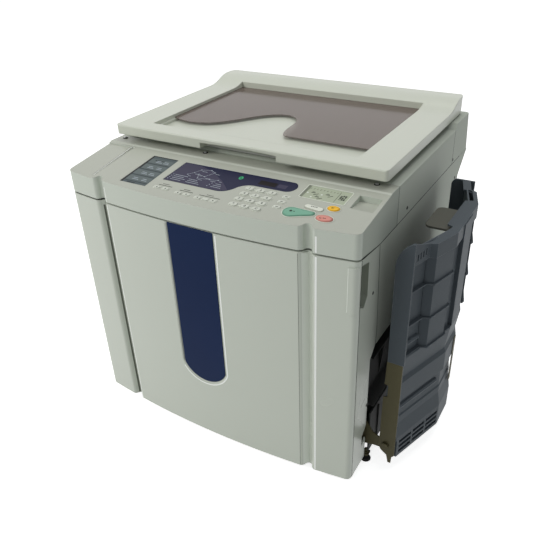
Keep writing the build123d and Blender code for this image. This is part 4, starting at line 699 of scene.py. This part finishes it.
maker = bmesh.new()
for xs, s in modeKeys["groups"]:
    before, after = modeKeys["barEnds"]
    first, last = xs[0] - before, xs[-1] + after
    base = s + modeKeys["barGap"]
    plate(maker, box(first, last, base, base + modeKeys["barTall"]), under, ink, onPanel)
    plate(maker, moved(box(*modeKeys["note"]), (first + last) / 2, base), under, ink, onPanel)
    for x, tip in ((xs[0], -1), (xs[-1], 1)):
        arrow = [(x + tip * a, s + b) for a, b in modeKeys["arrow"]]
        plate(maker, arrow, keyTop + under, keyTop + ink, onPanel)
for x, s in modeKeys["side"]:
    plate(maker, moved(box(*modeKeys["dash"]), x, s), keyTop + under, keyTop + ink, onPanel)
piece("panelPrinting", maker, "print", "machine")

maker = bmesh.new()
groupSpots = [(x, s) for xs, s in modeKeys["groups"] for x in xs]
for spots, grows in ((groupSpots, modeKeys["groupRim"]), (modeKeys["side"], modeKeys["sideRim"])):
    for x, s in spots:
        lines = [softBox(x, s, *modeKeys["size"], grow) for grow in grows]
        frameRing(maker, *lines, modeKeys["sunk"], modeKeys["rimHeight"], onPanel)
piece("modeKeyRims", maker, "rim", "machine")

maker = bmesh.new()
for x, s in modeKeys["side"]:
    dx, ds = modeKeys["lensSpot"]
    lathe(maker, modeKeys["lens"], x + dx, s + ds, onPanel, modeKeys["lensSteps"])
piece("sideKeyLenses", maker, "lens", "machine")
print("stage: function keys")

# Display: a paler field with a plain line diagram, small marks, a green figure and a dark readout
display = {"face": -0.3, "ink": 0.05, "inkUnder": 0.04, "layer": 0.06,
           "field": [(-100.5, 49.0), (20.0, 49.0), (40.0, 57.0), (12.0, 82.0), (-26.0, 106.0), (-62.0, 118.5),
                     (-98.0, 118.5)],
           "readout": (81.0, 117.0, 95.5, 109.5), "patch": (120.0, 138.0, 96.5, 108.5),
           "figure": (40.0, 104.0), "figureOuter": (4.2, 5.4), "figureInner": (2.4, 3.6), "figureSteps": 20,
           "figureLevels": (-0.34, -0.2), "slash": ((-1.6, -2.8), (-0.5, -2.8), (1.6, 2.8), (0.5, 2.8))}


def printed(maker, outline, layer=0):  # a thin film on a window's face
    base = display["face"] + display["layer"] * layer
    plate(maker, outline, base - display["inkUnder"], base + display["ink"], onPanel)


maker = bmesh.new()
printed(maker, display["field"])
printed(maker, box(*display["patch"]))
piece("displayField", maker, "tint", "machine")
maker = bmesh.new()
printed(maker, box(*display["readout"]))
piece("displayReadout", maker, "readout", "machine")
maker = bmesh.new()
x, s = display["figure"]
lines = [ovalLine(x, s, *display[key], display["figureSteps"]) for key in ("figureOuter", "figureInner")]
frameRing(maker, *lines, *display["figureLevels"], onPanel)
plate(maker, moved(display["slash"], x, s), *display["figureLevels"], onPanel)
piece("displayFigure", maker, "greenPrint", "machine")

# The diagram is a plain outline of a sheet's way through the machine, drawn as short bars with dots
diagram = {"path": [(-67, 81), (-58, 91), (-50, 104), (-30, 109), (-18, 103), (-30, 84), (-46, 88), (-40, 75),
                    (-14, 78), (4, 81)],
           "halfLine": 0.35, "knot": 1.5, "dot": 1.1, "dotSides": 10,
           "tag": (4, 10, -4.6, -3.6), "tagGrowth": 3,
           "rows": 4, "rowFoot": 55.5, "rowStep": 5.6, "halfRow": 0.6,
           "rowDots": (-96, 0.6), "rowBar": (-90, -66, 6), "middleBar": (-54, -24, 5),
           "rightDots": (-6, 2, 2), "rightBar": (2, 24, 2, 3), "rightRise": 2}


def dotAt(maker, x, s, radius):
    printed(maker, ovalLine(x, s, radius, radius, diagram["dotSides"]), 1)


maker = bmesh.new()
for (x0, s0), (x1, s1) in zip(diagram["path"], diagram["path"][1:]):
    length = math.hypot(x1 - x0, s1 - s0)
    nx, ns = -(s1 - s0) / length * diagram["halfLine"], (x1 - x0) / length * diagram["halfLine"]
    printed(maker, [(x0 - nx, s0 - ns), (x1 - nx, s1 - ns), (x1 + nx, s1 + ns), (x0 + nx, s0 + ns)], 1)
for k, (x, s) in enumerate(diagram["path"]):
    dotAt(maker, x, s, diagram["knot"])
    start, stop, foot, head = diagram["tag"]
    printed(maker, box(x + start, x + stop + k % 3 * diagram["tagGrowth"], s + foot, s + head), 1)
half = diagram["halfRow"]
for k in range(diagram["rows"]):
    s = diagram["rowFoot"] + diagram["rowStep"] * k
    x, step = diagram["rowDots"]
    dotAt(maker, x + step * k, s, diagram["dot"])
    start, stop, growth = diagram["rowBar"]
    printed(maker, box(start, stop + k % 2 * growth, s - half, s + half), 1)
    if k < diagram["rows"] - 1:
        start, stop, step = diagram["middleBar"]
        printed(maker, box(start, stop - step * k, s - half, s + half), 1)
        x, step, rise = diagram["rightDots"]
        dotAt(maker, x + step * k, s + rise, diagram["dot"])
        start, stop, stepIn, stepOut = diagram["rightBar"]
        base = s + diagram["rightRise"]
        printed(maker, box(start + stepIn * k, stop - stepOut * k, base - half, base + half), 1)
piece("displayMarks", maker, "palePrint", "machine")

# Label window: four bands with short pale marks, dark rules between them and a shadow at two edges
labels = {"left": -179.5, "right": -120.0, "bands": (22.0, 45.0, 68.0, 91.0, 113.0), "inset": (1, 3),
          "halfRule": 0.8, "blocks": ((-166, -142, 104.5, 107), (-166, -146, 15.5, 18.5)),
          "shade": ([(-180.7, 14.4), (-175.6, 14.4), (-177.4, 66), (-175.2, 71), (-177.0, 120.6),
                     (-180.7, 120.6)], box(-180.7, -119, 118.6, 120.7)),
          "markRows": 2, "markFoot": 7, "markStep": 5, "markTall": 1.6,
          "leftMark": (-163, 3, 15, 4), "rightMark": (-141, -128, 3)}

maker = bmesh.new()
sideInset, endInset = labels["inset"]
left, right = labels["left"] + sideInset, labels["right"] - sideInset
for start, stop in zip(labels["bands"], labels["bands"][1:]):
    printed(maker, box(left, right, start + endInset, stop - endInset))
piece("labelBands", maker, "labelBand", "machine")
maker = bmesh.new()
for s in labels["bands"][:-1]:
    printed(maker, box(labels["left"], labels["right"], s - labels["halfRule"], s + labels["halfRule"]))
for block in labels["blocks"]:
    printed(maker, box(*block), 1)
piece("labelRules", maker, "labelDark", "machine")
maker = bmesh.new()
for outline in labels["shade"]:
    printed(maker, outline, 2)
piece("labelShade", maker, "black", "machine")
maker = bmesh.new()
for k, s in enumerate(labels["bands"][:-1]):
    for row in range(labels["markRows"]):
        foot = s + labels["markFoot"] + labels["markStep"] * row
        start, shift, long, cut = labels["leftMark"]
        start += shift * (k % 2)
        printed(maker, box(start, start + long - cut * row, foot, foot + labels["markTall"]), 1)
        start, stop, cut = labels["rightMark"]
        printed(maker, box(start, stop - cut * row, foot, foot + labels["markTall"]), 1)
piece("labelMarks", maker, "palePrint", "machine")

# Option window: a row of ticks, lenses with short marks, a rule, a block of cells, a frame and painted shade
# at its recessed left end
options = {"lenses": ((181.0, 101.0), (208.0, 102.0), (192.5, 90.0)), "lensSteps": 12,
           "lens": ((1.9, -0.34), (1.8, 0.1), (1.0, 0.5), (0, 0.6)),
           "ticks": (180.0, 232.0, 116.5, 9), "tick": ((-1.0, -2), (-0.2, -2), (1.4, 1.6), (0.6, 1.6)),
           "divider": (236.65, 237.35, 87, 121),
           "notes": (box(6, 14, 2.0, 3.6), box(7, 12, 5.0, 6.2),
                     [(13, -4), (21, 1.5), (20, 2.6), (12, -2.8)]),
           "cells": (241.0, 97.0), "cellCount": (3, 4), "cellPitch": 4.0, "cellSize": 3.2,
           "frame": (215.0, 104.5, 84.0, 41.0, 1.5), "frameGrow": (2.0, 0.4), "frameLevels": (-0.2, 0.5),
           "endShade": [(173.4, 84.4), (177.6, 84.4), (178.4, 124.6), (173.4, 124.6)]}

maker = bmesh.new()
start, stop, s, count = options["ticks"]
for k in range(count):
    printed(maker, moved(options["tick"], start + (stop - start) * k / (count - 1), s), 1)
printed(maker, box(*options["divider"]), 1)
for x, s in options["lenses"]:
    for outline in options["notes"]:
        printed(maker, moved(outline, x, s), 1)
columns, rows = options["cellCount"]
for column in range(columns):
    for row in range(rows):
        x, s = (base + options["cellPitch"] * k for base, k in zip(options["cells"], (column, row)))
        tall = options["cellSize"] if (column + row) % 3 else options["cellSize"] / 2
        printed(maker, box(x, x + options["cellSize"], s, s + tall), 1)
piece("optionMarks", maker, "print", "machine")
maker = bmesh.new()
for x, s in options["lenses"]:
    lathe(maker, options["lens"], x, s, onPanel, options["lensSteps"])
piece("optionLenses", maker, "lens", "machine")
maker = bmesh.new()
lines = [softBox(*options["frame"], grow) for grow in options["frameGrow"]]
frameRing(maker, *lines, *options["frameLevels"], onPanel)
piece("optionFrame", maker, "rim", "machine")
maker = bmesh.new()
printed(maker, options["endShade"], 1)
piece("optionEndShade", maker, "optionShade", "machine")
print("stage: display and windows")

# Screws with a crosshead, and the small stops under the cover: metal pins on rubber rings
screws = {
    "right": (onRight, [(90, 436), (93, 169), (527, 533), (564, 478), (239, 538)]),
    "left": (onLeft, [(150, 60), (150, 480), (540, 60), (540, 440), (239, 538), (470, 538)]),
    "rear": (onRear, [(-280, 60), (280, 60), (-280, 420), (280, 420), (0, 60), (0, 420)]),
}
screwShape = {"radius": 3.6, "profile": ((1.0, 0.0), (1.0, 0.5), (0.82, 1.0), (0.5, 1.25), (0.0, 1.3)),
              "slot": (2.2, 0.45), "slotFoot": 1.0, "slotTops": (1.36, 1.37)}
for side, (place, spots) in screws.items():
    maker = bmesh.new()
    profile = [(screwShape["radius"] * r, h) for r, h in screwShape["profile"]]
    for a, b in spots:
        lathe(maker, profile, a, b, place)
    piece("screws_" + side, maker, "darkZinc", "machine")
    # The crosshead is drawn as black bars just above the head: painted shade for its recess
    maker = bmesh.new()
    reach, half = screwShape["slot"]
    across, along = screwShape["slotTops"]
    for a, b in spots:
        plate(maker, box(a - reach, a + reach, b - half, b + half), screwShape["slotFoot"], across, place)
        plate(maker, box(a - half, a + half, b - reach, b + reach), screwShape["slotFoot"], along, place)
    piece("screwSlotShade_" + side, maker, "black", "machine")

stops = {"spots": ((-301, 178), (-88, 178), (282, 178)),
         "ring": ((5.4, 0.0), (5.4, 0.6), (4.6, 0.9), (0.0, 0.9)),
         "pin": ((3.2, 0.8), (3.2, 2.6), (2.4, 3.2), (0.0, 3.4))}
for name, profile, look in (("stopRings", "ring", "rubber"), ("coverStops", "pin", "zinc")):
    maker = bmesh.new()
    for x, y in stops["spots"]:
        lathe(maker, stops[profile], x, y, onBed)
    piece(name, maker, look, "machine")
print("stage: screws and stops")

# Dark strips in the joints between the covers, painted shade where the gaps fall dark, drawn as (y, z) on the
# two sides
seams = {
    "levels": (-2.6, 0.12),
    "both": ([(36, 530.4), (110, 522.8), (110, 524.2), (36, 534.0)], box(110, 582, 522.8, 524.2),
             box(188.7, 189.8, 524.1, 599.6), box(523.2, 524.3, 524.1, 599.6)),
    "right": ([(119.05, 302.3), (120.45, 302.3), (123.45, 333), (111.45, 523), (110.05, 523), (122.05, 333)],
              box(33.3, 34.4, 22.5, 530)),
    "left": (box(110.05, 110.95, 22.5, 522.9),),
}
for name, place, side in (("seamsRight", onRight, "right"), ("seamsLeft", onLeft, "left")):
    maker = bmesh.new()
    for outline in (*seams["both"], *seams[side]):
        plate(maker, outline, *seams["levels"], place)
    piece(name, maker, "seamShade", "machine")

# Moulded finger well behind the door's grip, in painted shade: levels are (height, how far the wall is drawn
# in)
well = {"slot": [(34.8, 438.6), (51.4, 427.4), (65.3, 444.5), (65.3, 511.6), (34.8, 519.0)], "wall": 0.9,
        "levels": ((-0.3, 0.0), (-5.0, 0.8), (-9.0, 2.4), (-12.0, 5.0), (-13.4, 8.5))}


def tub(maker, outline, levels, wall, place):  # an open vessel with an even wall
    outer = [rowOf(maker, drawnIn(outline, drawn), place, h if k == 0 else h - wall)
             for k, (h, drawn) in enumerate(levels)]
    inner = [rowOf(maker, drawnIn(outline, drawn + wall), place, h) for h, drawn in levels]
    joined(maker, outer[::-1] + inner)
    maker.faces.new(outer[-1][::-1])
    maker.faces.new(inner[-1])


maker = bmesh.new()
tub(maker, well["slot"], well["levels"], well["wall"], onRight)
piece("gripWell", maker, "wellShade", "machine")
print("stage: seams and grip")

# Painted highlights, painted sheen and painted shade along the edges of the bowed front, as ribbons laid on
# the CAD surface along lines of (x, z)
ribbons = {"proud": 0.12, "deep": 0.5, "castFrom": -80}


def frontSurface(name):
    mesh, matrix = nodes[name].data, nodes[name].matrix_world
    points = [matrix @ v.co for v in mesh.vertices]
    return BVHTree.FromPolygons(points, [tuple(p.vertices) for p in mesh.polygons])


def onFront(surface, x, z, h):  # never in front of the CAD model's own box
    spot = surface.ray_cast(at(x, ribbons["castFrom"], z), Vector((0, 1, 0)))[0]
    return Vector((spot.x, max(spot.y - h / 1000, cadBox[0][1]), spot.z))


def ribbon(maker, surface, line, wide):
    rows = []
    for k, (x, z) in enumerate(line):
        ax, az = line[max(k - 1, 0)]
        bx, bz = line[min(k + 1, len(line) - 1)]
        run = math.hypot(bx - ax, bz - az)
        nx, nz = -(bz - az) / run * wide / 2, (bx - ax) / run * wide / 2
        first, second = (x + nx, z + nz), (x - nx, z - nz)
        proud, deep = ribbons["proud"], -ribbons["deep"]
        rows.append([maker.verts.new(onFront(surface, *p, h))
                     for p, h in ((first, proud), (second, proud), (second, deep), (first, deep))])
    joined(maker, rows)
    maker.faces.new(rows[0][::-1])
    maker.faces.new(rows[-1])


def uprightLine(x, foot, head):
    return [(x, foot), (x, head)]


rim = {"right": 52.4, "left": -60.0, "middle": -5.5, "radius": 61.7, "centre": 224.3, "turn": 204.0,
       "top": 527.0, "archTurns": range(24, 150, 4)}
arch = [(rim["middle"] + rim["radius"] * math.cos(a), rim["centre"] - rim["radius"] * math.sin(a))
        for a in (math.radians(turn) for turn in rim["archTurns"])]
rimLine = [(rim["right"], rim["top"]), (rim["right"], rim["turn"]), *arch]
doorSpan, panelSpan = (24, 528), (536, 566)

# Node, look, width and lines of each piece
frontLines = {
    "stripeRimLit": ("front_door", "paintedHighlight", 2.6, [rimLine]),
    "stripeRimShaded": ("front_door", "shade", 3.4, [uprightLine(rim["left"], rim["turn"], rim["top"])]),
    "columnShaded": ("left_front_column", "shade", 2.8, [uprightLine(-233.6, doorSpan[0], 520)]),
    "doorEdgeLit": ("front_door", "paintedHighlight", 2.0, [uprightLine(-213.4, *doorSpan)]),
    "channelShaded": ("front_door", "shade", 0.7, [uprightLine(214.0, *doorSpan)]),
    "channelSheen": ("front_door", "sheen", 9.0, [uprightLine(223.5, *doorSpan)]),
    "channelLit": ("front_door", "paintedHighlight", 3.6, [uprightLine(246.2, *doorSpan)]),
    "gripLit": ("front_door", "paintedHighlight", 1.2, [uprightLine(302.0, 431, 518)]),
    "panelEdgeLit": ("control_panel", "paintedHighlight", 3.0, [uprightLine(x, *panelSpan) for x in (-213.4, 246.2)]),
}
for name, (node, look, wide, lines) in frontLines.items():
    maker = bmesh.new()
    surface = frontSurface(node)
    for line in lines:
        ribbon(maker, surface, line, wide)
    piece(name, maker, look, "door" if node == "front_door" else "machine")

# Painted shade and painted highlight, as a dark and a pale line, for the shallow step that carries the left
# channel on over the panel
step = {"levels": (-0.4, 0.12), "dark": [(-251.2, 14), (-250.1, 14), (-255.9, 147), (-257.0, 147)],
        "pale": [(-250.1, 14), (-249.0, 14), (-254.8, 147), (-255.9, 147)]}
for name, look in (("dark", "shade"), ("pale", "paintedHighlight")):
    maker = bmesh.new()
    plate(maker, step[name], *step["levels"], onPanel)
    piece("panelStepShadeAndHighlight_" + name, maker, look, "machine")
print("stage: front edges")

# Black guard between the tray's brackets: a ribbed plate on two flanges
guard = {"face": (322.0, 325.0), "ys": (106.0, 436.0), "zs": (30.0, 138.0), "chamfer": 1.0, "lap": 0.5,
         "flangeFrom": 303.8, "flanges": ((128.5, 131.5), (411.0, 414.0)), "flangeInset": 4,
         "ribs": 5, "ribStart": 40, "ribStep": 62, "ribWide": 3, "ribRise": 3.0, "ribInset": 8}
maker = bmesh.new()
x0, x1 = guard["face"]
foot, head = guard["zs"]
plate(maker, box(x0, x1, *guard["ys"]), foot, head, at, guard["chamfer"])
for y0, y1 in guard["flanges"]:
    outline = box(guard["flangeFrom"], x0 + guard["lap"], y0, y1)
    plate(maker, outline, foot + guard["flangeInset"], head - guard["flangeInset"], at)
for k in range(guard["ribs"]):
    y = guard["ys"][0] + guard["ribStart"] + guard["ribStep"] * k
    outline = box(x1 - guard["lap"], x1 + guard["ribRise"], y, y + guard["ribWide"])
    plate(maker, outline, foot + guard["ribInset"], head - guard["ribInset"], at, guard["chamfer"])
piece("trayGuard", maker, "charcoal", "machine")

# Levelling bracket at the foot of the right side: a tongue, a screw with its nut and a rubber pad
leveller = {"spot": (318.0, 112.0), "tongue": (311.0, 112.0, 30.0, 16.0, 4), "tongueLevels": (17.6, 20.0),
            "screw": ((3.0, 6.0), (3.0, 30.0), (2.4, 30.6), (0, 30.6)),
            "nut": ((0, 20.0), (6.2, 20.0), (6.2, 24.0), (0, 24.0)), "nutSides": 6,
            "pad": ((0, 0.0), (11.0, 0.0), (11.0, 2.5), (9.0, 4.5), (4.0, 5.5), (4.0, 8.0), (0, 8.0))}
maker = bmesh.new()
plate(maker, softBox(*leveller["tongue"]), *leveller["tongueLevels"], at)
lathe(maker, leveller["screw"], *leveller["spot"], at)
lathe(maker, leveller["nut"], *leveller["spot"], at, leveller["nutSides"])
piece("levellerBracket", maker, "olive", "machine")
maker = bmesh.new()
lathe(maker, leveller["pad"], *leveller["spot"], at)
piece("levellerPad", maker, "rubber", "machine")
print("stage: guard and leveller")

low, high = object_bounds()
